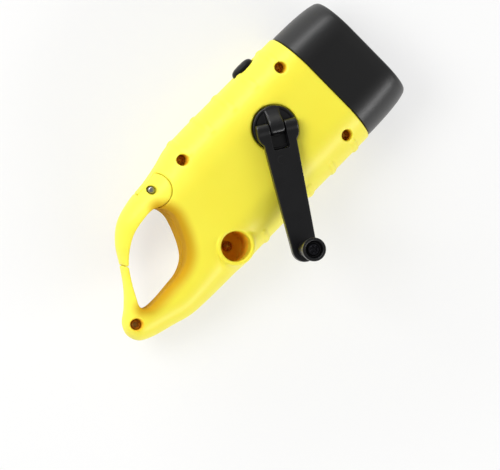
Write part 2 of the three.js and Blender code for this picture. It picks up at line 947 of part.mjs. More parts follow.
// The phase at which a pinion's gap faces the wheel's tooth on the line of centres.
function meshPhase(stage, wheelPhase) {
  const line = meshTurns[stage];
  return line + Math.PI + ((line - wheelPhase) * wheelTeeth[stage]) / pinionTeeth + Math.PI / pinionTeeth;
}

// The outline of the spindle's end, which turns the drive gear.
function spindleOutline(radius, turn) {
  return Array.from({ length: spindleSides }, (_, corner) =>
    polarPoint(radius, turn + (2 * Math.PI * corner) / spindleSides),
  );
}

function driveGear() {
  return gearSolid(wheelTeeth[0], stageModules[0], 0, hub, 0, spindleOutline(spindleRadius, armTurn));
}

// A wheel and the pinion above it, on one sleeve that reaches from plate to plate.
function compoundGear(number) {
  const centre = centres[number];
  const pinionPhase = meshPhase(number - 1, 0);
  const sleeve = drum(centre, gearHub, baseTop + fit, coverLow - fit, 12);
  return sleeve
    .add(gearSolid(pinionTeeth, stageModules[number - 1], pinionPhase, centre, number - 1))
    .add(gearSolid(wheelTeeth[number], stageModules[number], 0, centre, number))
    .subtract(drum(centre, axleRadius + axleFit, 0, top, 12));
}

function gearBase() {
  const plate = prism(ordered(baseShares.map(inTrain)), baseLow, baseTop);
  const pillars = pillarPlaces.map((place) => drum(place, pillarRadius, baseLow, coverLow - fit, 10));
  const cuts = [
    ...centres.slice(1, 3).map((centre) => drum(centre, axleRadius + axleFit, 0, overrun, 10)),
    drum(centres[3], gearHub, 0, overrun, 12),
    ...baseScrewPlaces.map((place) => drum(place, smallHole, 0, overrun, 8)),
    ...pillarPlaces.map((place) => drum(place, smallHole, coverLow - smallReach, overrun, 8)),
  ];
  return joined([plate, ...pillars]).subtract(joined(cuts));
}

function gearCover() {
  const cuts = [
    ...centres.slice(1, 3).map((centre) => drum(centre, axleRadius + axleFit, 0, overrun, 10)),
    drum(hub, bushRadius + fit, 0, overrun),
    ...pillarPlaces.map((place) => drum(place, smallHole, 0, overrun, 8)),
  ];
  const plate = prism(ordered(coverShares.map(inTrain)), coverLow, coverLow + plateThickness);
  return plate.subtract(joined(cuts));
}

function gearAxle(number) {
  return drum(centres[number], axleRadius, baseLow, coverLow + plateThickness, 12);
}

// Generator

function generatorCase() {
  const high = baseLow - fit;
  const bowl = drum(centres[3], generatorRadius, generatorLow, high, 28);
  const inside = drum(centres[3], generatorRadius - generatorWall, generatorLow + generatorWall, overrun, 28);
  return bowl.subtract(inside).subtract(drum(centres[3], shaftRadius + axleFit, 0, overrun, 12));
}

function generatorCoil() {
  const low = generatorLow + generatorWall + fit;
  return drum(centres[3], coilRadius, low, baseLow - 2 * fit, 28).subtract(
    drum(centres[3], coilRadius - coilThickness, 0, overrun, 28),
  );
}

function rotorMagnet() {
  const low = generatorLow + generatorWall + 2 * fit;
  return drum(centres[3], magnetRadius, low, baseLow - 2 * fit, 24).subtract(
    drum(centres[3], shaftRadius + axleFit, 0, overrun, 12),
  );
}

function rotorPinion() {
  const phase = meshPhase(2, 0);
  return gearSolid(pinionTeeth, stageModules[2], phase, centres[3], 2).subtract(
    drum(centres[3], shaftRadius + axleFit, 0, overrun, 12),
  );
}

// Battery, boards and wires

function batteryPack() {
  const cell = cellLength / 3;
  const groove = cellRadius - fit;
  const profile = [[0, 0]];
  for (let number = 0; number < 3; number++) {
    profile.push([groove, number * cell], [cellRadius, number * cell + fit]);
    profile.push([cellRadius, (number + 1) * cell - fit]);
  }
  profile.push([groove, cellLength], [0, cellLength]);
  const geometry = turnedGeometry(profile, 16).rotateX(-Math.PI / 2);
  return solidOf(geometry.translate(halfLength * cellShare, -cellLength / 2, wall + fit + cellRadius));
}

function mainBoard() {
  return prism(ordered(boardShares.map(at)), boardLow, boardTop);
}

function tactSwitch() {
  const x = halfLength * switchShare;
  const front = stemTip + tactEntry;
  const low = boardTop + fit;
  const half = tactWidth / 2;
  const box = block([x - half, front - tactDepth, low], [x + half, front, low + tactHeight]);
  const bore = crossDrum(x, middle, buttonStemRadius + fit, stemTip - buttonTravel - tactRoom, overrun);
  return box.subtract(bore);
}

function switchButton() {
  const out = halfWidth + buttonProud;
  const face = halfWidth - wall - fit;
  const cap = switchForm([
    [face - buttonFlangeThickness / 2, 0],
    [halfWidth, 0],
    [(halfWidth + out) / 2, -buttonProud / 5],
    [out - buttonProud / 8, -buttonProud * 0.75],
    [out, -buttonProud * 1.5],
  ]);
  const flange = switchForm([[face - buttonFlangeThickness, buttonFlange], [face, buttonFlange]]);
  const x = halfLength * switchShare;
  return cap.add(flange).add(crossDrum(x, middle, buttonStemRadius, stemTip, face));
}

function ledWire(side) {
  const y = (side * wireSpacing) / 2;
  const z = boardTop + fit + wireRadius;
  const start = new THREE.Vector3(at(boardShares[2]).x - 2 * wireRadius, y, z);
  const end = new THREE.Vector3(ledBoardBack - fit, y, z);
  return wire([start, end], wireRadius, 1, wireSides);
}

function generatorWire(number) {
  const turn = THREE.MathUtils.degToRad(wireTurns[number]);
  const leave = polarPoint(generatorRadius + fit, turn).add(centres[3]);
  const out = polarPoint(generatorRadius + 4 * wireRadius, turn).add(centres[3]);
  const board = at(boardShares[0]);
  const x = board.x + 2 * wireRadius;
  const y = board.y + 2 * wireRadius + number * wireSpacing * 0.5;
  const z = generatorLow + 2 * generatorWall;
  const points = [
    new THREE.Vector3(leave.x, leave.y, z),
    new THREE.Vector3(out.x, out.y, z),
    new THREE.Vector3((out.x + x) / 2, out.y, z),
    new THREE.Vector3(x - 2 * wireRadius, y, z + 2 * wireRadius),
    new THREE.Vector3(x, y, boardLow - 4 * wireRadius),
    new THREE.Vector3(x, y, boardLow - fit),
  ];
  return wire(points, wireRadius, 14, wireSides);
}

// Head

function bezel() {
  const skin = headForm(
    bezelTaperShares.map(([along, share]) => [
      bezelStart + along * bezelLength,
      -bezelInset - share * bezelTaper,
    ]),
  );
  const wide = -bezelInset - bezelWall;
  const seat = -lensInset + fit;
  const lip = -lensInset - lensLip;
  return skin
    .subtract(headForm([[bezelStart - fit, wide], [ledBoardFront + fit, wide]]))
    .subtract(headForm([[bezelStart, seat], [lensFront + fit, seat]]))
    .subtract(headForm([[lensBack, lip], [bezelEnd + fit, lip]]));
}

function lens() {
  return headForm([[lensBack, -lensInset], [lensFront, -lensInset]]);
}

// A profile of radii and distances turned about a line along X, one for each lamp.
function alongX(profile, side, sides) {
  const geometry = turnedGeometry(profile, sides).rotateY(Math.PI / 2);
  return solidOf(geometry.translate(0, side * bowlSpacing, middle));
}

function reflector() {
  const front = lensBack - fit;
  const back = ledBoardFront + fit;
  const depths = [0, 0.12, 0.35, 0.65, 1];
  const bowl = depths.map((depth) => [
    THREE.MathUtils.lerp(ledHole, bowlRadius, Math.sqrt(depth)),
    THREE.MathUtils.lerp(back, front, depth),
  ]);
  const outside = bowl.map(([radius, x]) => [radius + bowlWall, x]);
  const plate = headForm([[front - reflectorFlange, -lensInset], [front, -lensInset]]);
  const inside = [[ledHole, back - fit], ...bowl, [bowlRadius, front + fit]];
  const cups = lampSides.map((side) => alongX([[0, back], ...outside, [0, front]], side, 16));
  const cuts = lampSides.map((side) =>
    alongX([[0, back - fit], ...inside, [0, front + fit]], side, 16),
  );
  return joined([plate, ...cups]).subtract(joined(cuts));
}

function led(side) {
  const back = ledBoardFront + fit;
  const dome = back + ledLength - ledRadius;
  const profile = [
    [0, back],
    [ledFlangeRadius, back],
    [ledFlangeRadius, back + ledFlange],
    [ledRadius, back + ledFlange],
    [ledRadius, dome],
    [ledRadius * 0.8, dome + ledRadius * 0.6],
    [0, dome + ledRadius],
  ];
  return alongX(profile, side, 12);
}

function ledBoard() {
  return headForm([[ledBoardBack, -ledBoardInset], [ledBoardFront, -ledBoardInset]]);
}

// Finishes

function finish(color, roughness, metalness = 0) {
  return new THREE.MeshStandardMaterial({ color, roughness, metalness });
}

const yellowPlastic = finish(0xf6e62c, 0.4);
const blackPlastic = finish(0x141414, 0.42);
const crankPlastic = finish(0x0e0e0e, 0.35);
const gearPlastic = finish(0xece8dc, 0.5);
const steel = finish(0xb8b8b8, 0.3, 1);
const brass = finish(0x9a6a2c, 0.4, 1);
const chrome = finish(0xdedede, 0.1, 1);
const clearPlastic = finish(0xe8eef0, 0.1);
const boardGreen = finish(0x1d6b3a, 0.5);
const copper = finish(0xb4592a, 0.4, 1);
const magnetGrey = finish(0x3c3c3e, 0.6, 0.4);
const cellGreen = finish(0x2f8f4a, 0.45);
const redWire = finish(0xb02020, 0.5);
const blackWire = finish(0x181818, 0.5);

// Assembly

function piece(name, solid, material, parent) {
  const mesh = new THREE.Mesh(geometryOf(solid), material);
  mesh.name = name;
  parent.add(mesh);
}

const flashlight = new THREE.Group();
const shells = new THREE.Group();
const head = new THREE.Group();
const carabiner = new THREE.Group();
const crank = new THREE.Group();
const gearbox = new THREE.Group();
const generator = new THREE.Group();
const electrics = new THREE.Group();
const fasteners = new THREE.Group();
flashlight.add(shells, head, carabiner, crank, gearbox, generator, electrics, fasteners);

piece("front_shell", frontShell(), yellowPlastic, shells);
piece("rear_shell", rearShell(), yellowPlastic, shells);
piece("switch_button", switchButton(), blackPlastic, shells);

piece("bezel", bezel(), blackPlastic, head);
piece("lens", lens(), clearPlastic, head);
piece("reflector", reflector(), chrome, head);
piece("led_board", ledBoard(), boardGreen, head);
piece("led_right", led(-1), clearPlastic, head);
piece("led_centre", led(0), clearPlastic, head);
piece("led_left", led(1), clearPlastic, head);

piece("carabiner_gate", carabinerGate(), yellowPlastic, carabiner);
const gatePin = drum(pivot, gatePinRadius, middle - gatePinHalfLength, middle + gatePinHalfLength, 16);
piece("gate_pin", gatePin, steel, carabiner);
piece("gate_spring", gateSpring(), steel, carabiner);

crank.position.set(hub.x, hub.y, 0);
crank.rotation.z = armTurn;
piece("crank_hub", crankHub(), crankPlastic, crank);
const hingePin = crossDrum(0, hingeZ, hingePinRadius, -hingePinLength / 2, hingePinLength / 2);
piece("crank_hinge_pin", hingePin, crankPlastic, crank);
piece("crank_arm", crankArm(), crankPlastic, crank);
piece("crank_knob", crankKnob(), crankPlastic, crank);
piece("knob_screw", screw(knobCentre, knobHigh - knobDish, knobScrewSize), steel, crank);

piece("gear_base", gearBase(), gearPlastic, gearbox);
piece("gear_cover", gearCover(), gearPlastic, gearbox);
piece("drive_gear", driveGear(), gearPlastic, gearbox);
piece("compound_gear_1", compoundGear(1), gearPlastic, gearbox);
piece("compound_gear_2", compoundGear(2), gearPlastic, gearbox);
piece("gear_axle_1", gearAxle(1), steel, gearbox);
piece("gear_axle_2", gearAxle(2), steel, gearbox);

piece("generator_case", generatorCase(), steel, generator);
piece("generator_coil", generatorCoil(), copper, generator);
piece("rotor_magnet", rotorMagnet(), magnetGrey, generator);
const shaftLow = generatorLow - rotorRise + fit;
piece("rotor_shaft", drum(centres[3], shaftRadius, shaftLow, layerTops[2], 12), steel, generator);
piece("rotor_pinion", rotorPinion(), gearPlastic, generator);

piece("battery_pack", batteryPack(), cellGreen, electrics);
piece("main_board", mainBoard(), boardGreen, electrics);
piece("tact_switch", tactSwitch(), blackPlastic, electrics);
piece("led_wire_red", ledWire(1), redWire, electrics);
piece("led_wire_black", ledWire(-1), blackWire, electrics);
piece("generator_wire_red", generatorWire(1), redWire, electrics);
piece("generator_wire_black", generatorWire(0), blackWire, electrics);

screws.forEach(({ place, seat }, number) => {
  piece(`case_screw_${number + 1}`, screw(place, seat, caseScrewSize(number)), brass, fasteners);
});
piece("case_screw_5", screw(pocket, pocketBottom, caseScrewSize(screws.length)), brass, fasteners);
baseScrewPlaces.forEach((place, number) => {
  piece(`base_screw_${number + 1}`, screw(place, baseTop, smallScrewSize), steel, fasteners);
});
pillarPlaces.forEach((place, number) => {
  const seat = coverLow + plateThickness;
  piece(`cover_screw_${number + 1}`, screw(place, seat, smallScrewSize), steel, fasteners);
});
const hubScrew = turnedGeometry(
  [
    [0, -smallHeadHeight],
    [spindleRadius + fit, -smallHeadHeight],
    [spindleRadius + fit, 0],
    [smallShank, 0],
    [smallShank, smallReach],
    [0, smallReach],
  ],
  16,
).translate(hub.x, hub.y, driveTop - gearThickness - fit);
piece("hub_screw", solidOf(hubScrew), steel, fasteners);

export default flashlight;
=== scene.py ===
"""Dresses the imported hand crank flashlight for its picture.

The frame is in metres. Shapes here are worked out in millimetres and turned to metres as they become meshes.
+X runs to the lens, +Y to the switch and the gate, and +Z out of the crank side.
"""

import json
import math

import bpy
import numpy as np
from bpy.props import FloatProperty, FloatVectorProperty, IntProperty, PointerProperty
from mathutils import Matrix, Vector


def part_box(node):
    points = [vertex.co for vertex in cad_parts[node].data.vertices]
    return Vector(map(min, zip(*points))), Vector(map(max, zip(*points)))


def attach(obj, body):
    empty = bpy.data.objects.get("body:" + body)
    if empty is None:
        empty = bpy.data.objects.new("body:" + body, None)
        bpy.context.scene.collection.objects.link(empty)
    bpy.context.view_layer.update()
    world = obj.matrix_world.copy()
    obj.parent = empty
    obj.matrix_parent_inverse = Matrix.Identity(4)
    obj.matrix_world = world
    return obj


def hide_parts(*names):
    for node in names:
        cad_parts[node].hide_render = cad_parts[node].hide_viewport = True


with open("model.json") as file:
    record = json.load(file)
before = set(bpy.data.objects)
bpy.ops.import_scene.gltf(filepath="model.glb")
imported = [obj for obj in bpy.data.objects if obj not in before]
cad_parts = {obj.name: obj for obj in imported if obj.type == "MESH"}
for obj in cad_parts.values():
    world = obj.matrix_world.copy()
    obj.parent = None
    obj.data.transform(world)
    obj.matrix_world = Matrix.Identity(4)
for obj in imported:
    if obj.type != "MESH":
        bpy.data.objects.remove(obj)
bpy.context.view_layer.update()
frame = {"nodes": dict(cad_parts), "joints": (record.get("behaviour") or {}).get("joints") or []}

bl_info = {
    "name": "Hand crank flashlight",
    "version": (1, 0, 0),
    "blender": (4, 5, 0),
    "location": "View3D > Sidebar > Flashlight",
    "description": "Builds the moulded case, crank, lamp head, screws and studio of a hand crank flashlight",
    "category": "Object",
}

MM = 0.001
JOINTS = {joint["name"]: joint for joint in frame["joints"]}


def joint_place(name):
    """Millimetres of a joint's axis."""
    return np.array(JOINTS[name]["pos_m"]) / MM


def node_box(name):
    """Millimetres of a node's lowest and highest corners."""
    return [np.array(corner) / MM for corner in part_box(name)]


# Sizes in millimetres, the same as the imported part's

HALF_LENGTH = 68.0
HALF_WIDTH = 25.0
HALF_DEPTH = 18.0
EDGE_ROUND = 16.0
TAIL_HALF_DEPTH = 8.5
TAIL_EDGE_ROUND = 8.5
DEEP_FROM = -0.07 * HALF_LENGTH
SLIM_FROM = -0.74 * HALF_LENGTH
WALL = 2.2
FIT = 0.3
SEAM_X = HALF_LENGTH * 0.682
NECK_ENDS = (43.4, 49.4)
NECK_OUTSIDE, NECK_INSIDE = 2.5, 3.8
MIDDLE = HALF_DEPTH
PARTING = 0.15

HUB = joint_place("crank_spin")
PIVOT = joint_place("gate_hinge")
KNOB = joint_place("knob_spin")
HINGE_Z = joint_place("crank_fold")[2]
ARM_LINE = (KNOB - HUB)[:2] / np.linalg.norm((KNOB - HUB)[:2])
POCKET = np.array([-0.266 * HALF_LENGTH, -0.672 * HALF_WIDTH])

# The plan outline from the switch side round the tail, in shares of half length and half width
OUTLINE_SHARES = [
    (1.4, 1), (0.3, 1), (-0.06, 1), (-0.15, 0.984), (-0.241, 0.92), (-0.35, 0.865), (-0.472, 0.835),
    (-0.6, 0.735), (-0.69, 0.53), (-0.754, 0.263), (-0.823, -0.003), (-0.899, -0.216), (-0.964, -0.36),
    (-0.988, -0.52), (-0.968, -0.69), (-0.909, -0.79), (-0.762, -0.908), (-0.676, -0.975), (-0.57, -1),
    (0.3, -1), (1.4, -1),
]
OPENING_GATE_SHARES = [
    (-0.413, 0.516), (-0.429, 0.539), (-0.448, 0.547), (-0.5, 0.536), (-0.588, 0.48), (-0.656, 0.374),
    (-0.726, 0.197), (-0.772, 0.02), (-0.819, -0.193), (-0.844, -0.328), (-0.842, -0.382),
]
OPENING_BODY_SHARES = [
    (-0.842, -0.382), (-0.81, -0.44), (-0.756, -0.452), (-0.654, -0.436), (-0.559, -0.412), (-0.487, -0.32),
    (-0.44, -0.164), (-0.396, 0.088), (-0.378, 0.268), (-0.387, 0.41), (-0.413, 0.516),
]
HOLLOW_SHARES = [
    (1.2, 1.2), (-0.21, 1.2), (-0.21, 0.56), (-0.25, 0.44), (-0.33, 0.3), (-0.345, 0.06), (-0.38, -0.2),
    (-0.43, -0.42), (-0.53, -0.54), (-0.66, -0.57), (-0.76, -0.6), (-0.82, -0.75), (-0.82, -1.2), (1.2, -1.2),
]
SCREW_SHARES = [(0.578, 0.688), (0.578, -0.688), (-0.14, 0.748), (-0.922, -0.484)]
BOARD_POST_SHARES = [(0.646, 0.36), (0.56, -0.46)]
RIB_SHARES = [-0.1, 0.078, 0.243, 0.412, 0.582]
RIB_WIDTH = 2.0
RIB_REACH = 0.78 * HALF_WIDTH
GATE_END = (-0.74, 0.21)
GATE_OUTER_SHARES = [(-0.7, 1), (-0.363, 1.3)]
GATE_JOINT_TURNS = [32, 12, 4, -4, -12]
GATE_HEAD_RADIUS = 6.5
GATE_GAP = 0.3
LUG_RADIUS = 4.6
LUG_HALF_HEIGHT = 4.0
WEB_TURNS = (-70, 75)
SLOT_TURNS = (-106, 98)
PIN_HOLE = 1.6
SPRING_BORE = 2.55
SPRING_FLOOR = MIDDLE - LUG_HALF_HEIGHT + 0.9
RECESS_RADIUS = 8.65
RECESS_Z = 33.5
POCKET_RADIUS = 5.5
POCKET_COLLAR = 7.0
POCKET_TOP = 34.0
POCKET_BOTTOM = 15.0
# Push button, an oval that grows to a flange and shrinks to a stem
SWITCH_X = HALF_LENGTH * 0.456
BUTTON_HALF_LENGTH = 4.7
BUTTON_HALF_HEIGHT = 3.5
BUTTON_PROUD = 1.9
BUTTON_FLANGE = 0.8
BUTTON_STEM = -1.9
BUTTON_CORE = -3.45
FLANGE_FACE = 22.5
FLANGE_BACK = 21.3
PRESS_ROOM = 0.9

# Screws and the posts and bush that they go into
SCREW_WELL = 2.1
SCREW_BOSS = 3.5
SCREW_BORE = 1.3
SCREW_HEAD = 1.6
BORE_DEPTH = 13.5
POCKET_BORE_DEPTH = 9.3
TUBE_FLOOR = 2.3
RECESS_WALL = 1.8
BUSH_RADIUS = 5.3
BUSH_DEPTH = 4.5
HUB_BORE = 3.3
BASE_POST, BOARD_POST, GENERATOR_POST = 1.6, 1.5, 3.5
BASE_BORE, BASE_BORE_FLOOR = 1.0, 11.8
GENERATOR_BORE, GENERATOR_BORE_FLOOR = 1.2, 4.6
CUT_ROUND = 0.2

# Lamp head: how far its section grows at each part, and the bowls' and the lamps' sizes
BEZEL_SKIRT = -0.45
BEZEL_INSIDE = -2.2
BEZEL_SHOULDER = -2.1
BEZEL_FACE = -2.9
BEZEL_WINDOW = -5.3
BEZEL_STOP = 51.4
LENS_SEAT = -3.9
LENS_INSET = 4.2
BOWL_RADIUS = 6.5
BOWL_SPACING = 13.4
BOWL_SKIN = 0.2
LED_HOLE = 3.2
LED_RADIUS = 2.5
LED_FLANGE = 2.9
LED_STRAIGHT = 5.1

# Crank
HUB_LOW = RECESS_Z + FIT
HUB_TOP = HUB_LOW + 2.5
HUB_RADIUS = 8.2
HUB_LIP, HUB_DISH = 1.1, 0.35
SPINDLE_RADIUS, SPINDLE_LOW = 3.0, 25.7
KNUCKLE = 2.3
STRAP_HALF = 2.7
STRAP_BACK = 7.4
STRAP_BEVEL = 0.4
HUB_PIN_BORE, ARM_PIN_BORE = 1.25, 1.3
ARM_HIGH = HINGE_Z + 1.8
EAR_HALF = 7.6
SLOT_HALF = 3.0
SLOT_REACH = 7.8
SHOULDER = 5.4
ARM_HALF = 6.1
ARM_END_HALF = 4.6
CRANK_RADIUS = 45.0
PIN_HALF_LENGTH = 7.1
KNOB_RIM = 4.3
KNOB_BORE = 1.6

# Stage: the place that the camera and the lamps face, the picture's own directions, width and scale, and the
# heights on the sky's unit sphere where the dark cloth begins and is full
LOOK_AT = (-9.55, -19.55, 18.0)
PICTURE_RIGHT = (1.9516, -1.9516, 0.516)
PICTURE_UP = (1.9516, 1.9516, -0.007)
PICTURE_WIDTH = 500
PIXELS_PER_MM = 2.757
CLOTH_FROM, CLOTH_FULL = 0.78, 0.93


# Colour and mesh helpers

def linear(code):
    """Linear RGBA of an sRGB hex colour. Up to 0.04045 a channel c becomes c / 12.92, and past it
    ((c + 0.055) / 1.055) to the power of 2.4."""
    channels = np.array([int(code[i:i + 2], 16) / 255 for i in (1, 3, 5)])
    low, high = channels / 12.92, ((channels + 0.055) / 1.055) ** 2.4
    return (*np.where(channels <= 0.04045, low, high).tolist(), 1.0)


def make_piece(name, points, faces, finish, body, node=None, depth=None):
    """Makes a smooth mesh object from points in millimetres and rows of corner numbers, and seats it on a body,
    in place of a node if one is named. A depth is a number for each point from -1 to 1, kept on the mesh for its
    material to paint shade by."""
    mesh = bpy.data.meshes.new(name)
    faces = np.asarray(faces, np.int32)
    mesh.vertices.add(len(points))
    mesh.vertices.foreach_set("co", (np.asarray(points) * MM).astype(np.float32).ravel())
    mesh.loops.add(faces.size)
    mesh.loops.foreach_set("vertex_index", faces.ravel())
    mesh.polygons.add(len(faces))
    mesh.polygons.foreach_set("loop_start", np.arange(0, faces.size, faces.shape[1], dtype=np.int32))
    mesh.polygons.foreach_set("use_smooth", np.ones(len(faces), bool))
    mesh.update(calc_edges=True)
    mesh.validate()
    if depth is not None:
        mesh.attributes.new("painted_shade_depth", "FLOAT", "POINT").data.foreach_set("value", depth.astype(np.float32))
    piece = bpy.data.objects.new(name, mesh)
    bpy.context.scene.collection.objects.link(piece)
    mesh.materials.append(MATERIALS[finish])
    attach(piece, body)
    if node:
        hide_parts(node)


def grid_faces(rows, columns):
    """Corner numbers of the quads of a grid of points that closes on itself across its columns."""
    row, column = np.meshgrid(np.arange(rows - 1), np.arange(columns), indexing="ij")
    here, beside = row * columns + column, row * columns + (column + 1) % columns
    return np.stack([here, beside, beside + columns, here + columns], axis=-1).reshape(-1, 4)


def smoothstep(value, low, high):
    """0 below low, 1 above high, and 3t^2 - 2t^3 of the share t between them."""
    share = np.clip((value - low) / (high - low), 0, 1)
    return share * share * (3 - 2 * share)


def at(shares):
    """Plan points in millimetres from shares of half length and half width."""
    return np.asarray(shares, float) * (HALF_LENGTH, HALF_WIDTH)


def smooth_curve(points, steps):
    """Centripetal Catmull-Rom curve: each span is a cubic Hermite whose end slopes blend the chords on either
    side, weighted by knots spaced as the square root of chord length."""
    p = np.vstack([2 * points[0] - points[1], points, 2 * points[-1] - points[-2]])
    knot = np.linalg.norm(np.diff(p, axis=0), axis=1)[:, None] ** 0.5
    chord = np.diff(p, axis=0) / knot
    before, over, after = knot[:-2], knot[1:-1], knot[2:]
    start = (chord[:-2] - (p[2:-1] - p[:-3]) / (before + over) + chord[1:-1]) * over
    end = (chord[1:-1] - (p[3:] - p[1:-2]) / (over + after) + chord[2:]) * over
    t = np.arange(steps)[None, :, None] / steps
    a, b = p[1:-2, None], p[2:-1, None]
    span = (
        a * (2 * t**3 - 3 * t**2 + 1) + b * (3 * t**2 - 2 * t**3)
        + start[:, None] * (t**3 - 2 * t**2 + t) + end[:, None] * (t**3 - t**2)
    )
    return np.vstack([span.reshape(-1, points.shape[1]), points[-1:]])


# Fields: a solid is the region where a signed distance in millimetres is below zero

def edge_distance(points, x, y):
    """Least distance in the plane from each grid point to a chain of edges."""
    a, edge = points[:-1], np.diff(points, axis=0)
    dx, dy = x[..., None] - a[:, 0], y[..., None] - a[:, 1]
    length = np.maximum((edge**2).sum(1), 1e-12)
    share = np.clip((dx * edge[:, 0] + dy * edge[:, 1]) / length, 0, 1)
    return np.hypot(dx - share * edge[:, 0], dy - share * edge[:, 1]).min(-1)


def polygon_distance(points, x, y):
    """Signed distance to a closed polygon, below zero where a ray along X crosses its edges an odd number of
    times."""
    ring = np.vstack([points, points[:1]])
    a, b = ring[:-1], ring[1:]
    rise = np.where(b[:, 1] == a[:, 1], 1e-9, b[:, 1] - a[:, 1])
    px, py = x[..., None], y[..., None]
    crossed = ((a[:, 1] > py) != (b[:, 1] > py)) & (px < a[:, 0] + (py - a[:, 1]) * (b[:, 0] - a[:, 0]) / rise)
    inside = crossed.sum(-1) % 2 == 1
    return np.where(inside, -1, 1) * edge_distance(ring, x, y)


def round_max(a, b, radius):
    """What two fields share, with the edge where they meet rounded to a radius: beyond the radius it is the
    greater field, and near the edge the distance to a circle that touches both."""
    return np.minimum(np.maximum(a, b), -radius) + np.hypot(np.maximum(a + radius, 0), np.maximum(b + radius, 0))


def soft_min(a, b, reach):
    """Two fields joined by a fillet: the lesser one, less a parabola where they differ by under the reach."""
    near = np.maximum(reach - np.abs(a - b), 0) / reach
    return np.minimum(a, b) - near * near * reach / 4


def drum(x, y, centre, radius):
    """Signed distance in the plane to a circle."""
    return np.hypot(x - centre[0], y - centre[1]) - radius


def well(x, y, z, centre, radius, floor):
    """A round shaft along Z, open upwards from its floor."""
    return np.maximum(drum(x, y, centre, radius), floor - z)


def field_axes(low, high, step):
    """Grid coordinates of a box, shaped to broadcast against each other. Boxes start off the round numbers, so
    that no flat of a piece lies right on a layer of grid points."""
    return np.meshgrid(*[np.arange(a, b + step, step) for a, b in zip(low, high)], indexing="ij", sparse=True)


def field_surface(field, low, step):
    """Points and quads of the surface where a field is zero. Each grid cell that the surface crosses holds one
    point, the mean of the crossings of its edges, each found by straight interpolation between two corners. Each
    crossed edge joins the points of its four cells."""
    cells = np.array(field.shape) - 1
    total = np.zeros((*cells, 3), np.float32)
    count = np.zeros(cells, np.float32)
    crossings = []
    for axis in range(3):
        first = np.take(field, range(field.shape[axis] - 1), axis)
        second = np.take(field, range(1, field.shape[axis]), axis)
        crossed = (first < 0) != (second < 0)
        share = np.where(crossed, first / np.where(crossed, first - second, 1), 0)
        crossings.append((crossed, first < 0))
        sides = [other for other in range(3) if other != axis]
        for corner in np.ndindex(2, 2):
            window = [slice(None)] * 3
            for side, offset in zip(sides, corner):
                window[side] = slice(offset, offset + cells[side])
            hit = crossed[tuple(window)]
            total[..., axis] += share[tuple(window)]
            for side, offset in zip(sides, corner):
                total[..., side] += offset * hit
            count += hit
    filled = count > 0
    number = np.full(cells, -1, np.int32)
    number[filled] = np.arange(filled.sum())
    points = np.argwhere(filled) + total[filled] / count[filled][:, None]
    quads = []
    for axis, (crossed, rising) in enumerate(crossings):
        sides = [(axis + 1) % 3, (axis + 2) % 3]
        place = np.argwhere(crossed)
        place = place[(place[:, sides[0]] > 0) & (place[:, sides[1]] > 0)]
        place = place[(place[:, sides[0]] < cells[sides[0]]) & (place[:, sides[1]] < cells[sides[1]])]
        around = []
        for back in ((1, 1), (0, 1), (0, 0), (1, 0)):
            cell = place.copy()
            cell[:, sides[0]] -= back[0]
            cell[:, sides[1]] -= back[1]
            around.append(number[tuple(cell.T)])
        quad = np.stack(around, axis=-1)
        outward = rising[tuple(place.T)]
        quads.append(np.where(outward[:, None], quad, quad[:, ::-1]))
    return np.asarray(low) + points * step, np.vstack(quads)


# The case

OUTLINE = smooth_curve(at(OUTLINE_SHARES), 10)
OPENING_GATE = smooth_curve(at(OPENING_GATE_SHARES), 10)
OPENING_BODY = smooth_curve(at(OPENING_BODY_SHARES), 10)
OPENING = np.vstack([OPENING_GATE[:-1], OPENING_BODY[:-1]])


def blurred(plan, passes):
    """A plan map after passes of averaging with its neighbours along each axis, one quarter from either side."""
    for _ in range(passes):
        for axis in (0, 1):
            ends = np.pad(plan, [(1, 1) if a == axis else (0, 0) for a in range(3)], mode="edge")
            count = ends.shape[axis]
            lower, upper = (np.take(ends, range(k, count - 2 + k), axis) for k in (0, 2))
            plan = plan / 2 + lower / 4 + upper / 4
    return plan


def case_field(x, y, z):
    """The case: flat in the middle, and a quarter of an ellipse down to the plan outline. With e the share of the
    edge round still to go inwards and r the height's share of the half depth, the surface is where e^2 + r^2 is
    one, and the excess of the root over one is turned to millimetres by its own slope. Away from the rim the
    share is blurred, so that the outline's corners leave no creases on the flanks."""
    inward = -polygon_distance(OUTLINE, x, y)
    deep = smoothstep(x, SLIM_FROM, DEEP_FROM)
    depth = TAIL_HALF_DEPTH + (HALF_DEPTH - TAIL_HALF_DEPTH) * deep
    rounding = TAIL_EDGE_ROUND + (EDGE_ROUND - TAIL_EDGE_ROUND) * deep
    edge = np.maximum(1 - inward / rounding, 0)
    edge = edge + (blurred(edge, 12) - edge) * smoothstep(inward, 2.0, 5.0)
    rise = np.abs(z - MIDDLE) / depth
    root = np.hypot(edge, rise)
    slope = np.maximum(np.hypot(edge / rounding, rise / depth), 1e-6)
    return (root - 1) * np.where(root > 1e-4, root / slope, depth)


def polar(centre, radius, degrees):
    """Plan points at a radius and turns about a centre."""
    turn = np.radians(np.asarray(degrees, float))
    return centre[:2] + radius * np.stack([np.cos(turn), np.sin(turn)], axis=-1)


def gate_plan(x, y, gap):
    """The plan of the gate: a round head about the pivot joined to the arm, which ends on an arc about it."""
    end = at(GATE_END) - PIVOT[:2]
    turn = math.degrees(math.atan2(end[1], end[0]))
    joint = polar(PIVOT, np.linalg.norm(end) + gap, turn + np.array(GATE_JOINT_TURNS))
    arm = np.vstack([PIVOT[:2], joint, at(GATE_OUTER_SHARES)])
    return np.minimum(drum(x, y, PIVOT, GATE_HEAD_RADIUS + gap), polygon_distance(arm, x, y))


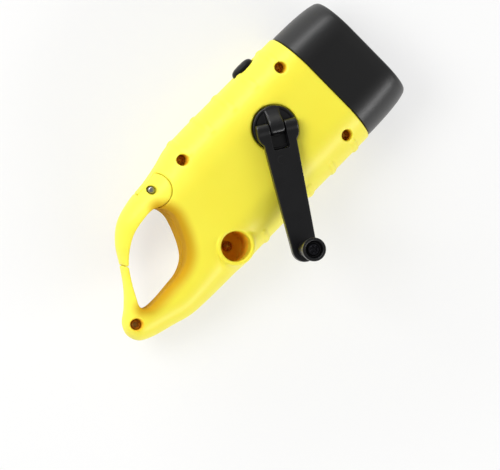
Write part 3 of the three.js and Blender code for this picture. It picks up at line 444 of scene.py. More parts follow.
def lug_field(x, y, z, gap, turns):
    """The body's half of the hinge: a drum about the pivot and a wedge between two turns, of a set height."""
    wedge = np.vstack([PIVOT[:2], polar(PIVOT, 2 * GATE_HEAD_RADIUS, np.linspace(*turns, 5))])
    plan = np.minimum(drum(x, y, PIVOT, LUG_RADIUS), polygon_distance(wedge, x, y)) - gap
    return np.maximum(plan, np.abs(z - MIDDLE) - LUG_HALF_HEIGHT - gap)


def oval_field(x, y, z, grow, low, high):
    """An oval bar along Y through the switch: the excess of the oval's root over one, times its half height."""
    length, height = BUTTON_HALF_LENGTH + grow, BUTTON_HALF_HEIGHT + grow
    oval = (np.hypot((x - SWITCH_X) / length, (z - MIDDLE) / height) - 1) * height
    return np.maximum(oval, np.maximum(low - y, y - high))


def case_skin(x, y, z, settings):
    """The outer form of the case and its gate: round-ended ribs stand on it, which fade in on the switch side, a
    collar blends into its falling side, and the carabiner's opening runs through it with a funnel on the body's
    side."""
    case = case_field(x, y, z)
    along = np.abs(x[..., None] - np.array(RIB_SHARES) * HALF_LENGTH).min(-1)
    start = RIB_REACH + np.where(y > 0, -0.5, 1.8)
    proud = settings.rib_proud * np.where(y > 0, 0.8 * smoothstep(y, RIB_REACH - 1.5, HALF_WIDTH - 2), 1)
    plan = np.hypot(along, np.maximum(start - np.abs(y), 0)) - RIB_WIDTH / 2
    rib = round_max(case - proud, plan, 0.4)
    collar = round_max(drum(x, y, POCKET, POCKET_COLLAR), z - POCKET_TOP, 0.9)
    blend = 0.2 + 2.8 * smoothstep(POCKET[1] + 1 - y, 0, 4)
    skin = soft_min(soft_min(case, rib, 0.6), np.maximum(collar, MIDDLE + 1 - z), blend)
    to_gate, to_body = edge_distance(OPENING_GATE, x, y), edge_distance(OPENING_BODY, x, y)
    side = to_gate / (to_gate + to_body + 1e-6)
    ends = smoothstep(np.abs(x - at((-0.6, 0))[0]), 18.0, 8.0)
    funnel = 0.5 + (settings.funnel - 0.5) * smoothstep(side, 0.35, 0.9) * (0.55 + 0.45 * ends)
    skin = round_max(skin, -polygon_distance(OPENING, x, y), funnel)
    return case, round_max(skin, x - SEAM_X, 0.3)


def neck_field(case, x):
    """The thin neck that the bezel slides over."""
    ring = np.maximum(case + NECK_OUTSIDE, -(case + NECK_INSIDE))
    return np.maximum(ring, np.maximum(NECK_ENDS[0] - x, x - NECK_ENDS[1]))


def screw_places():
    """Each case screw's plan place and the height of its seat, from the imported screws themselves."""
    tops = [node_box(f"case_screw_{k}")[1][2] for k in (1, 2, 3, 4)]
    return [(at(share), top - SCREW_HEAD - FIT) for share, top in zip(SCREW_SHARES, tops)]


def node_centre(name):
    """Plan place in millimetres of the middle of a node."""
    low, high = node_box(name)
    return ((low + high) / 2)[:2]


def rear_posts(x, y, z):
    """The posts that the gears' base, the board and the generator stand on, as drums up to just under each."""
    base_low = node_box("generator_case")[1][2] + FIT
    board_low, generator_low = (node_box(name)[0][2] for name in ("main_board", "generator_case"))
    posts = [(node_centre(f"base_screw_{k}"), BASE_POST, base_low) for k in (1, 2, 3)]
    posts += [(at(share), BOARD_POST, board_low) for share in BOARD_POST_SHARES]
    posts.append((node_centre("generator_case"), GENERATOR_POST, generator_low))
    return np.minimum.reduce([
        np.maximum(drum(x, y, place, radius), z - high + FIT) for place, radius, high in posts
    ])


def painted_shade_depth(points):
    """How far down a well each point lies, from 0 at the skin to 1 at 5 mm deep, for points on the walls and
    floors of the screws' wells and of the knob's pocket. The body's side of the opening is -0.8 at its rim,
    fading out over 5 mm, and all other points are 0. The yellow material uses it to paint shade: a darker orange
    down the wells and in the opening's funnel, with the gloss taken away there."""
    x, y, z = points.T
    funnel = np.zeros(len(points))
    beside = np.flatnonzero((drum(x, y, at((-0.6, 0)), 28) < 0) & (z > 0.3))
    rim = edge_distance(OPENING_BODY, x[beside], y[beside])
    funnel[beside] = 0.8 * (1 - smoothstep(rim, 0.3, 5.0))
    wells = [(place, SCREW_WELL, height) for place, height in screw_places()]
    wells.append((POCKET, POCKET_RADIUS, POCKET_BOTTOM))
    inside = np.maximum.reduce([
        (1 - smoothstep(drum(x, y, place, radius), 0.1, 0.5)) * (z > floor - 0.5)
        for place, radius, floor in wells
    ])
    near = np.flatnonzero(inside)
    x, y, z = x[near], y[near], z[near]
    edge = np.clip(1 + polygon_distance(OUTLINE, x, y) / EDGE_ROUND, 0, 1)
    top = MIDDLE + HALF_DEPTH * np.sqrt(1 - edge**2)
    top = np.where(drum(x, y, POCKET, POCKET_COLLAR) < 0, np.minimum(top, POCKET_TOP), top)
    inside[near] *= smoothstep(top - z, 0.3, 5.0)
    return inside - funnel


def shell_fields(x, y, z, settings):
    """The front shell, the rear shell and the gate, cut from one skin."""
    case, skin = case_skin(x, y, z, settings)
    hollow = np.maximum(case + WALL, polygon_distance(at(HOLLOW_SHARES), x, y))
    seat = np.maximum(gate_plan(x, y, GATE_GAP / 2), -lug_field(x, y, z, 0, WEB_TURNS))
    body = np.minimum(np.maximum(skin, -hollow), neck_field(case, x))
    window = oval_field(x, y, z, FIT, 10, 40)
    flange = oval_field(x, y, z, BUTTON_FLANGE + FIT, FLANGE_BACK - PRESS_ROOM, FLANGE_FACE + FIT)
    pin_hole = drum(x, y, PIVOT, PIN_HOLE)
    shared = round_max(body, -seat, CUT_ROUND)
    shared = round_max(round_max(shared, -window, 0.5), -pin_hole, 0.25)
    shared = np.maximum(shared, -flange)

    places = screw_places()
    bosses = np.minimum.reduce([drum(x, y, place, SCREW_BOSS) for place, _ in places[:3]])
    pan = well(x, y, z, HUB, RECESS_RADIUS + RECESS_WALL, RECESS_Z - RECESS_WALL)
    bush = well(x, y, z, HUB, BUSH_RADIUS, RECESS_Z - BUSH_DEPTH)
    inside = np.maximum(np.minimum(np.minimum(pan, bush), bosses), case + 0.2)
    front = round_max(np.minimum(shared, inside), MIDDLE + PARTING - z, CUT_ROUND)
    tube = np.maximum(well(x, y, z, POCKET, POCKET_COLLAR - 0.5, POCKET_BOTTOM - 2), z - MIDDLE - 2)
    lined = np.maximum(well(x, y, z, POCKET, POCKET_COLLAR, MIDDLE + PARTING), z - POCKET_TOP + 2)
    front = np.minimum(front, np.minimum(tube, lined))
    sunk = [(place, SCREW_WELL, height, 0.3) for place, height in places]
    sunk += [(HUB, RECESS_RADIUS, RECESS_Z, 0.4), (POCKET, POCKET_RADIUS, POCKET_BOTTOM, 0.8)]
    for place, radius, floor, rounding in sunk:
        front = round_max(front, -well(x, y, z, place, radius, floor), rounding)
    front = np.maximum(front, -np.minimum(drum(x, y, HUB, HUB_BORE), drum(x, y, POCKET, SCREW_BORE)))

    pocket_boss = np.maximum(drum(x, y, POCKET, SCREW_BOSS), z - POCKET_BOTTOM + TUBE_FLOOR)
    base = np.maximum(np.minimum(np.minimum(bosses, pocket_boss), rear_posts(x, y, z)), case + 0.2)
    rear = round_max(np.minimum(shared, base), z - MIDDLE + PARTING, CUT_ROUND)
    bores = [(POCKET, POCKET_COLLAR - 0.2, POCKET_BOTTOM - TUBE_FLOOR), (PIVOT, SPRING_BORE, SPRING_FLOOR)]
    bores += [(place, SCREW_BORE, height - BORE_DEPTH) for place, height in places]
    bores += [(node_centre(f"base_screw_{k}"), BASE_BORE, BASE_BORE_FLOOR) for k in (1, 2, 3)]
    bores.append((POCKET, SCREW_BORE, POCKET_BOTTOM - POCKET_BORE_DEPTH))
    bores.append((node_centre("generator_case"), GENERATOR_BORE, GENERATOR_BORE_FLOOR))
    for place, radius, floor in bores:
        rear = np.maximum(rear, -well(x, y, z, place, radius, floor))

    gate = round_max(skin, gate_plan(x, y, 0), CUT_ROUND)
    gate = np.maximum(gate, -lug_field(x, y, z, FIT, SLOT_TURNS))
    gate = round_max(gate, -pin_hole, 0.25)
    return front, rear, gate


# Materials

def add_node(tree, kind, inputs=None, **settings):
    """Adds a node with its settings. Each input is linked to a socket, linked to a node's first output in use, or
    set to a value, where a text value is an sRGB hex colour."""
    node = tree.nodes.new("ShaderNode" + kind)
    for name, value in settings.items():
        setattr(node, name, value)
    for key, value in (inputs or {}).items():
        if isinstance(value, str):
            value = linear(value)
        elif isinstance(value, bpy.types.Node):
            value = next(socket for socket in value.outputs if socket.enabled)
        if isinstance(value, bpy.types.NodeSocket):
            tree.links.new(value, node.inputs[key])
        else:
            node.inputs[key].default_value = value
    return node


def per_mm(size):
    """Scale of a pattern on Object coordinates whose cells are this many millimetres across."""
    return 1 / (size * MM)


def new_material(name):
    """An empty node material, its tree and the object's own coordinates."""
    material = bpy.data.materials.new(name)
    material.use_nodes = True
    tree = material.node_tree
    tree.nodes.clear()
    return material, tree, add_node(tree, "TexCoord").outputs["Object"]


def bumped_shader(tree, height, strength, depth, sockets):
    """A principled shader whose surface follows a height, as a bump of a depth in millimetres."""
    bump = add_node(tree, "Bump", {"Height": height, "Strength": strength, "Distance": depth * MM})
    return add_node(tree, "BsdfPrincipled", {"Normal": bump, **sockets})


def finished(material, shader):
    """The material with a shader joined to its output."""
    add_node(material.node_tree, "OutputMaterial", {"Surface": shader})
    return material


def moulded_plastic(name, colour, shade, roughness, grain, depth, painted_shades=None, **sockets):
    """A moulded plastic: its colour drifts slowly towards a second shade, its gloss wanders a little, and a fine
    spark-eroded grain stands on it. Where two shade colours are given, shade is painted into the plastic: it
    turns to the first down the wells and to the second in the opening's funnel, a painted orange shade for the
    light that bounces there many times, and its gloss and mirroring are taken away there."""
    material, tree, place = new_material(name)
    slow = add_node(tree, "TexNoise", {"Vector": place, "Scale": per_mm(18.0), "Detail": 2.0})
    tone = add_node(tree, "Mix", {"Factor": slow, "A": colour, "B": shade}, data_type="RGBA")
    fine = add_node(tree, "TexNoise", {"Vector": place, "Scale": per_mm(grain), "Detail": 3.0})
    gloss = add_node(tree, "MapRange", {
        "Value": fine, "From Min": 0.3, "From Max": 0.7, "To Min": roughness - 0.03, "To Max": roughness + 0.04,
    })
    # Painted shade: by the depth kept on the mesh, the colour goes to a darker orange and the gloss and mirroring
    # fade in the wells and the funnel
    if painted_shades:
        level = 0.5
        for sign, painted_shade_colour in zip((1, -1), painted_shades):
            depths = add_node(tree, "Attribute", attribute_name="painted_shade_depth").outputs["Fac"]
            share = add_node(tree, "MapRange", {"Value": depths, "From Max": sign})
            tone = add_node(tree, "Mix", {"Factor": share, "A": tone, "B": painted_shade_colour}, data_type="RGBA")
            level = add_node(tree, "MapRange", {"Value": share, "To Min": level, "To Max": 0.05})
            gloss = add_node(tree, "MapRange", {"Value": share, "To Min": gloss, "To Max": 0.9})
        sockets["Specular IOR Level"] = level
    return finished(material, bumped_shader(tree, fine, strength=0.35, depth=depth, sockets={
        "Base Color": tone, "Roughness": gloss, **sockets,
    }))


def worked_metal(name, colour, shade, roughness, stretch, grain, depth=0.01):
    """A metal whose marks are drawn out along one axis, as a tool leaves them."""
    material, tree, place = new_material(name)
    drawn = add_node(tree, "Mapping", {"Vector": place, "Scale": stretch})
    marks = add_node(tree, "TexNoise", {"Vector": drawn, "Scale": per_mm(grain), "Detail": 4.0})
    tone = add_node(tree, "Mix", {"Factor": marks, "A": colour, "B": shade}, data_type="RGBA")
    gloss = add_node(tree, "MapRange", {"Value": marks, "To Min": roughness - 0.08, "To Max": roughness + 0.1})
    return finished(material, bumped_shader(tree, marks, strength=0.4, depth=depth, sockets={
        "Base Color": tone, "Metallic": 1.0, "Roughness": gloss,
    }))


def clear_plastic(name, tint, ior, roughness):
    """A clear moulded plastic: light passes with a faint tint, and slow waves of the mould bend it slightly."""
    material, tree, place = new_material(name)
    wave = add_node(tree, "TexNoise", {"Vector": place, "Scale": per_mm(9.0), "Detail": 1.0})
    return finished(material, bumped_shader(tree, wave, strength=0.1, depth=0.02, sockets={
        "Base Color": tint, "Roughness": roughness, "IOR": ior, "Transmission Weight": 1.0,
    }))


def crank_nylon(name, colour, shade):
    """Black glass-filled nylon off a polished tool, with the witness ring that an ejector pin leaves on the arm:
    the ring's disc is sunk, and the grain stands on it at about an eighth of that."""
    material, tree, place = new_material(name)
    fine = add_node(tree, "TexNoise", {"Vector": place, "Scale": per_mm(0.7), "Detail": 3.0})
    slow = add_node(tree, "TexNoise", {"Vector": place, "Scale": per_mm(7.0), "Detail": 2.0})
    tone = add_node(tree, "Mix", {"Factor": slow, "A": colour, "B": shade}, data_type="RGBA")
    gloss = add_node(tree, "MapRange", {
        "Value": slow, "From Min": 0.3, "From Max": 0.7, "To Min": 0.26, "To Max": 0.36,
    })
    centre = crank_frame(np.array([(11.6, -1.0, ARM_HIGH)]))[0] * MM
    away = add_node(tree, "VectorMath", {0: place, 1: tuple(centre)}, operation="DISTANCE")
    disc = add_node(tree, "MapRange", {
        "Value": away, "From Min": 1.35 * MM, "From Max": 1.6 * MM, "To Min": 1.0, "To Max": 0.0,
    })
    sunk = add_node(tree, "Math", {0: disc, 1: -0.9}, operation="MULTIPLY")
    height = add_node(tree, "Math", {0: fine, 1: 0.12, 2: sunk}, operation="MULTIPLY_ADD")
    return finished(material, bumped_shader(tree, height, strength=0.6, depth=0.12, sockets={
        "Base Color": tone, "Roughness": gloss, "IOR": 1.53,
    }))


def make_materials(settings):
    """Every finish by the name of its stuff and how it was made."""
    even, along_z = (1.0, 1.0, 1.0), (1.0, 1.0, 0.08)
    return {
        # Bright lemon ABS off a fine matt tool: even and slightly waxy, with painted shade that turns it orange
        # down the holes and in the opening's funnel, where light bounces
        "yellow_abs": moulded_plastic(
            "moulded_yellow_abs", settings.shell_colour, "#F8E93C", 0.4, 0.5, 0.02, painted_shades=("#FEC433", "#C48600"),
            IOR=1.54, **{"Subsurface Weight": 0.06, "Subsurface Scale": 0.002}),
        # Black ABS with a soft satin tool finish, which spreads the lamps into broad bands
        "black_abs": moulded_plastic("moulded_satin_black_abs", "#0B0B0B", "#0F0F10", 0.36, 0.45, 0.02, IOR=1.54),
        # Rubbery black push button, whose dull face mirrors half as much as the bezel's
        "button": moulded_plastic(
            "moulded_black_elastomer", "#09090A", "#0E0E0F", 0.38, 0.4, 0.02, **{"Specular IOR Level": 0.25}),
        "nylon": crank_nylon("moulded_black_nylon", "#08080A", "#0D0D0F"),
        # Self-tapping screws in yellow zinc plate: brown-gold, dull, with the marks of cold heading
        "yellow_zinc": worked_metal("yellow_zinc_plated_steel", "#9A6A2E", "#C79A4E", 0.34, even, 0.5),
        "steel": worked_metal("turned_steel", "#A9ABAE", "#C9CACC", 0.3, along_z, 0.4),
        "black_steel": worked_metal("blackened_steel", "#232325", "#35353A", 0.35, even, 0.5),
        # Vacuum metallised reflector: nearly a mirror, with a faint orange peel
        "chrome": worked_metal("vacuum_metallised_plastic", "#E3E4E6", "#EFEFF0", 0.12, even, 2.5, 0.004),
        "lens": clear_plastic("moulded_clear_polycarbonate", "#F6FAFA", 1.58, 0.02),
        "epoxy": clear_plastic("cast_clear_epoxy", "#F4F6F4", 1.5, 0.04),
        "phosphor": moulded_plastic("yellow_phosphor", "#E9D25A", "#F2E188", 0.6, 0.3, 0.02),
        "acetal": moulded_plastic("moulded_acetal", "#ECE8DC", "#E2DDCE", 0.42, 0.5, 0.02),
        "board": moulded_plastic("solder_masked_fibreglass", "#17603A", "#1D6E40", 0.4, 0.8, 0.03),
        "copper": worked_metal("enamelled_copper_wire", "#B4592A", "#C8743A", 0.35, (1, 1, 0.2), 0.35, 0.05),
        "ferrite": moulded_plastic("sintered_ferrite", "#39393B", "#454548", 0.62, 0.3, 0.04),
        "sleeve": moulded_plastic("green_shrink_sleeve", "#2C8A49", "#257A40", 0.32, 2.0, 0.05),
        "red_pvc": moulded_plastic("red_pvc_sheath", "#A91F1F", "#B92A26", 0.42, 0.6, 0.02),
        "black_pvc": moulded_plastic("black_pvc_sheath", "#1A1A1A", "#232323", 0.42, 0.6, 0.02),
    }


MATERIALS = {}

CAD_FINISHES = {
    "acetal": ["gear_base", "gear_cover", "drive_gear", "compound_gear_1", "compound_gear_2", "rotor_pinion"],
    "steel": [
        "gate_spring", "gear_axle_1", "gear_axle_2", "generator_case", "rotor_shaft", "hub_screw", "base_screw_1",
        "base_screw_2", "base_screw_3", "cover_screw_1", "cover_screw_2", "cover_screw_3",
    ],
    "copper": ["generator_coil"],
    "ferrite": ["rotor_magnet"],
    "sleeve": ["battery_pack"],
    "board": ["main_board", "led_board"],
    "button": ["tact_switch"],
    "red_pvc": ["led_wire_red", "generator_wire_red"],
    "black_pvc": ["led_wire_black", "generator_wire_black"],
}


# Turned and swept shapes

def lathe(profile, sides):
    """A profile of radii and heights turned about Z: x = r cos a, y = r sin a and z = h, closed on the axis."""
    profile = np.asarray(profile, float)
    turn = np.linspace(0, 2 * np.pi, sides, endpoint=False)
    radius = np.maximum(profile[:, :1], 1e-4)
    points = np.stack([radius * np.cos(turn), radius * np.sin(turn), profile[:, 1:] + 0 * turn], axis=-1)
    return points.reshape(-1, 3), grid_faces(len(profile), sides)


def rounded(profile, radius, steps=4):
    """A chain of points with each inner corner replaced by a quadratic curve that starts and ends a radius, or
    half an edge, away from it."""
    p = np.asarray(profile, float)
    before, after = p[:-2] - p[1:-1], p[2:] - p[1:-1]
    reach = [np.minimum(radius / np.linalg.norm(v, axis=1), 0.49)[:, None] for v in (before, after)]
    start, end = p[1:-1] + before * reach[0], p[1:-1] + after * reach[1]
    t = np.linspace(0, 1, steps + 1)[None, :, None]
    corner = p[1:-1, None]
    curve = start[:, None] * (1 - t) ** 2 + 2 * corner * t * (1 - t) + end[:, None] * t**2
    return np.vstack([p[:1], curve.reshape(-1, p.shape[1]), p[-1:]])


def head_ring(grow, count=24):
    """The head's section grown by a distance, as Y and Z: flats on top and bottom, and a half ellipse on each
    side whose half axes are the edge round and the half depth. Rows follow the growths."""
    grow = np.asarray(grow, float)[:, None]
    turn = np.linspace(0, np.pi / 2, count)
    across = HALF_WIDTH + grow - (EDGE_ROUND + grow) * (1 - np.cos(turn))
    height = (HALF_DEPTH + grow) * np.sin(turn)
    quarter = np.stack([across, height], axis=-1)
    flat = np.linspace(1, -1, 10)[1:-1]
    top = np.stack([(HALF_WIDTH - EDGE_ROUND) * flat + 0 * grow, HALF_DEPTH + grow + 0 * flat], axis=-1)
    upper = np.concatenate([quarter, top, quarter[:, ::-1] * (-1, 1)], axis=1)
    return np.concatenate([upper, upper[:, 1:-1] * (-1, -1)], axis=1)


def head_sweep(profile, closed):
    """The head's section carried along a profile of X and growth."""
    profile = np.asarray(profile, float)
    ring = head_ring(profile[:, 1])
    x = np.broadcast_to(profile[:, 0][:, None, None], ring.shape[:2] + (1,))
    points = np.concatenate([x, ring + (0, MIDDLE)], axis=-1)
    rows, columns = ring.shape[:2]
    faces = grid_faces(rows, columns)
    if closed:
        last = grid_faces(2, columns)
        faces = np.vstack([faces, np.where(last >= columns, last - columns, last + (rows - 1) * columns)])
    return points.reshape(-1, 3), faces


def along_x(points, x, y):
    """Turns points made about Z to lie about X, and moves them to a place on the head."""
    return points[:, [2, 0, 1]] + (x, y, MIDDLE)


def turned(points, direction, place):
    """Points turned about Z, so that their X runs along a direction of the plan, and moved to a plan place."""
    turn = np.array([[direction[0], -direction[1]], [direction[1], direction[0]]])
    placed = points.copy()
    placed[:, :2] = points[:, :2] @ turn.T + place
    return placed


def crank_frame(points):
    """Turns points from the crank's own frame, whose X runs from the hub to the knob, to the part's."""
    return turned(points, ARM_LINE, HUB[:2])


# Crank fields, in the crank's own frame

def hub_field(x, y, z):
    """A round disc with a lip and a strap that arches from its back over the hinge pin, with bevelled long
    edges. The bevel is the plane where the strap's own field and its side face add up to the bevel's width."""
    centre = (0.0, 0.0)
    faces = np.abs(z - (HUB_LOW + HUB_TOP) / 2) - (HUB_TOP - HUB_LOW) / 2
    disc = round_max(drum(x, y, centre, HUB_RADIUS), faces, 0.6)
    disc = round_max(disc, -well(x, y, z, centre, HUB_RADIUS - HUB_LIP, HUB_TOP - HUB_DISH), CUT_ROUND)
    arch = smooth_curve(np.array([
        (-STRAP_BACK, HUB_TOP), (-4.9, HUB_TOP + 1.75), (-2.2, HINGE_Z + 1.72), (-0.2, HINGE_Z + KNUCKLE),
        (1.6, HINGE_Z + 1.62), (KNUCKLE, HINGE_Z),
    ]), 5)
    side = np.vstack([(-STRAP_BACK, HUB_LOW), arch, (KNUCKLE, HUB_LOW)])
    band = np.minimum(polygon_distance(side, x, z), drum(x, z, (0, HINGE_Z), KNUCKLE))
    face = np.abs(y) - STRAP_HALF
    bevel = (band + face + STRAP_BEVEL) / math.sqrt(2)
    strap = round_max(round_max(band, face, CUT_ROUND), bevel, CUT_ROUND)
    spindle = np.maximum(well(x, y, z, centre, SPINDLE_RADIUS, SPINDLE_LOW), z - HUB_TOP)
    whole = np.minimum(soft_min(disc, strap, 0.5), spindle)
    return np.maximum(whole, -drum(x, z, (0, HINGE_Z), HUB_PIN_BORE))


def arm_plan():
    """The arm's plan outline: a forked end at the hinge, a straight taper, and a round end about the knob."""
    bend = np.linspace(0, 1, 9)[:, None]
    start, end = np.array((KNUCKLE, EAR_HALF)), np.array((SHOULDER, ARM_HALF))
    corner = np.array(((KNUCKLE + SHOULDER) / 2, EAR_HALF))
    shoulder = start * (1 - bend) ** 2 + 2 * corner * bend * (1 - bend) + end * bend**2
    turn = np.linspace(np.pi / 2, 0, 12)
    round_end = np.stack([CRANK_RADIUS + ARM_END_HALF * np.cos(turn), ARM_END_HALF * np.sin(turn)], axis=-1)
    upper = np.vstack([(0, EAR_HALF), shoulder, round_end])
    return np.vstack([upper, (upper * (1, -1))[::-1]])


def arm_field(x, y, z):
    """A flat arm with rounded edges, two round ears about the hinge pin and a window for the hub's strap."""
    slab = round_max(polygon_distance(arm_plan(), x, y), np.abs(z - HINGE_Z) - (ARM_HIGH - HINGE_Z), 0.45)
    ears = round_max(drum(x, z, (0, HINGE_Z), KNUCKLE), np.abs(y) - EAR_HALF, 0.5)
    window = round_max(np.abs(y) - SLOT_HALF, x - SLOT_REACH, 0.8)
    arm = round_max(soft_min(slab, ears, 0.6), -window, 0.25)
    pin_bore = np.maximum(drum(x, z, (0, HINGE_Z), ARM_PIN_BORE), np.abs(y) - PIN_HALF_LENGTH - 0.2)
    return np.maximum(np.maximum(arm, -pin_bore), -drum(x, y, (CRANK_RADIUS, 0), KNOB_BORE))


# Settings

class CaseSettings(bpy.types.PropertyGroup):
    shell_colour: FloatVectorProperty(
        name="Shell colour", description="Colour of the case's plastic", subtype="COLOR", size=4, min=0, max=1,
        default=linear("#FBF048"))
    rib_proud: FloatProperty(
        name="Rib height", description="Millimetres that the grip ribs stand proud", default=0.55, min=0.1,
        max=1)
    funnel: FloatProperty(
        name="Funnel", description="Millimetres of round on the body's side of the opening", default=4.2,
        min=1, max=5)
    grid_step: FloatProperty(
        name="Grid step", description="Millimetres between the field's grid points", default=0.465, min=0.3,
        max=1)


class CrankSettings(bpy.types.PropertyGroup):
    grid_step: FloatProperty(
        name="Grid step", description="Millimetres between the field's grid points", default=0.2, min=0.1,
        max=0.6)
    knob_sides: IntProperty(
        name="Knob sides", description="Facets around the knob", default=64, min=16, max=128)


class HeadSettings(bpy.types.PropertyGroup):
    rim_round: FloatProperty(
        name="Rim round", description="Millimetres of round on the bezel's edges", default=0.6, min=0.1, max=1)
    lamp_sides: IntProperty(
        name="Lamp sides", description="Facets around each lamp and bowl", default=48, min=16, max=96)


class ScrewSettings(bpy.types.PropertyGroup):
    head_radius: FloatProperty(
        name="Head radius", description="Millimetres from a case screw's axis to its rim", default=1.8, min=1,
        max=2)
    recess_depth: FloatProperty(
        name="Recess depth", description="Millimetres that the cross recess sinks", default=0.8, min=0.2,
        max=1.2)


class StageSettings(bpy.types.PropertyGroup):
    floor_colour: FloatVectorProperty(
        name="Floor colour", description="Colour of the paper floor", subtype="COLOR", size=4, min=0, max=1,
        default=linear("#F7F7F6"))
    distance: FloatProperty(
        name="Camera distance", description="Metres from the camera to the part", default=4.0, min=0.5, max=8)
    key: FloatProperty(
        name="Soft boxes", description="Watts that the soft boxes share out", default=3.0, min=0, max=100)
    tent: FloatProperty(
        name="Tent", description="Strength of the white tent round the part", default=0.45, min=0, max=2)
    cloth: FloatProperty(
        name="Cloth", description="Strength of the darker cloth that closes the tent's top", default=0.28,
        min=0, max=2)
    whiten: FloatProperty(
        name="White floor", description="Share of plain white that the eye sees in the floor", default=0.6,
        min=0, max=1)


# Operators

class FLASHLIGHT_OT_case(bpy.types.Operator):
    """Moulds the two halves of the case and the carabiner gate"""

    bl_idname = "flashlight.case"
    bl_label = "Case and gate"

    def execute(self, context):
        settings = context.scene.flashlight_case
        step = settings.grid_step
        low = (-69.03, -27.07, -1.13)
        fields = shell_fields(*field_axes(low, (51, 27, 37.4), step), settings)
        nodes = {"front_shell": "case", "rear_shell": "case", "carabiner_gate": "gate"}
        for (node, body), field in zip(nodes.items(), fields):
            points, faces = field_surface(field, low, step)
            # How deep each point lies in a well or the funnel, kept for the painted shade there
            depth = painted_shade_depth(points)
            make_piece(f"moulded_{node}", points, faces, "yellow_abs", body, node, depth)
        return {"FINISHED"}


class FLASHLIGHT_OT_crank(bpy.types.Operator):
    """Moulds the hub and the arm, and turns the hinge pin"""

    bl_idname = "flashlight.crank"
    bl_label = "Crank hub and arm"

    def execute(self, context):
        step = context.scene.flashlight_crank.grid_step
        for part, field, low, high in (
            ("hub", hub_field, (-9.03, -9.07, 25.03), (9, 9, 42.4)),
            ("arm", arm_field, (-3.03, -8.07, 36.03), (50.4, 8, 42)),
        ):
            points, faces = field_surface(field(*field_axes(low, high, step)), low, step)
            node = f"crank_{part}"
            make_piece(f"moulded_{node}", crank_frame(points), faces, "nylon", part, node)
        reach = PIN_HALF_LENGTH
        points, faces = lathe(rounded([(0, -reach), (1, -reach), (1, reach), (0, reach)], 0.2), 32)
        points = crank_frame(points[:, [1, 2, 0]] + (0, 0, HINGE_Z))
        make_piece("turned_hinge_pin", points, faces, "black_steel", "hub", "crank_hinge_pin")
        return {"FINISHED"}


class FLASHLIGHT_OT_knob(bpy.types.Operator):
    """Turns the knob with its dished end"""

    bl_idname = "flashlight.knob"
    bl_label = "Knob"

    def execute(self, context):
        low, high = (box[2] for box in node_box("crank_knob"))
        length, dish = high - low, high - 2.2
        rim = (KNOB_RIM, high - 0.8)
        side = smooth_curve(np.array([
            (2.9, low), (2.95, low + 0.25 * length), (3.6, low + 0.62 * length), (4.25, low + 0.86 * length),
            rim,
        ]), 6)
        end = rounded([
            rim, (KNOB_RIM, high), (3.35, high), (3.1, high - 0.5), (2.9, dish), (KNOB_BORE, dish),
        ], 0.35)
        bottom = (KNOB_BORE, low)
        profile = np.vstack([bottom, side[:-1], end, bottom])
        points, faces = lathe(profile, context.scene.flashlight_crank.knob_sides)
        points = points + (KNOB[0], KNOB[1], 0)
        make_piece("moulded_knob", points, faces, "nylon", "knob", "crank_knob")
        return {"FINISHED"}


class FLASHLIGHT_OT_head(bpy.types.Operator):
    """Sweeps the bezel and the lens round the head's section"""

    bl_idname = "flashlight.head"
    bl_label = "Bezel and lens"

    def execute(self, context):
        start, end = (box[0] for box in node_box("bezel"))
        length = end - start
        lens_low, lens_high = (box[0] for box in node_box("lens"))
        shoulder, seat = (start + 0.94 * length, BEZEL_SHOULDER), lens_high + FIT
        taper = smooth_curve(np.array([
            (start, BEZEL_SKIRT), (start + 0.1 * length, -0.42), (start + 0.5 * length, -0.71),
            (start + 0.8 * length, -1.39), shoulder,
        ]), 5)
        rim = [
            shoulder, (end, BEZEL_FACE), (end, BEZEL_WINDOW), (seat, BEZEL_WINDOW), (seat, LENS_SEAT),
            (BEZEL_STOP, LENS_SEAT), (BEZEL_STOP, BEZEL_INSIDE), (start, BEZEL_INSIDE), (start, BEZEL_SKIRT),
            (start + 0.05 * length, -0.42),
        ]
        round_off = rounded(rim, context.scene.flashlight_head.rim_round)
        points, faces = head_sweep(np.vstack([taper[3:-1], round_off[:-1]]), closed=True)
        make_piece("moulded_bezel", points, faces, "black_abs", "case", "bezel")
        edge = rounded([(lens_low, -9), (lens_low, -LENS_INSET), (lens_high, -LENS_INSET), (lens_high, -9)], 0.3)
        pane = [(lens_low, -HALF_DEPTH), *edge, (lens_high, -HALF_DEPTH)]
        points, faces = head_sweep(pane, closed=False)
        make_piece("moulded_lens", points, faces, "lens", "case", "lens")
        return {"FINISHED"}


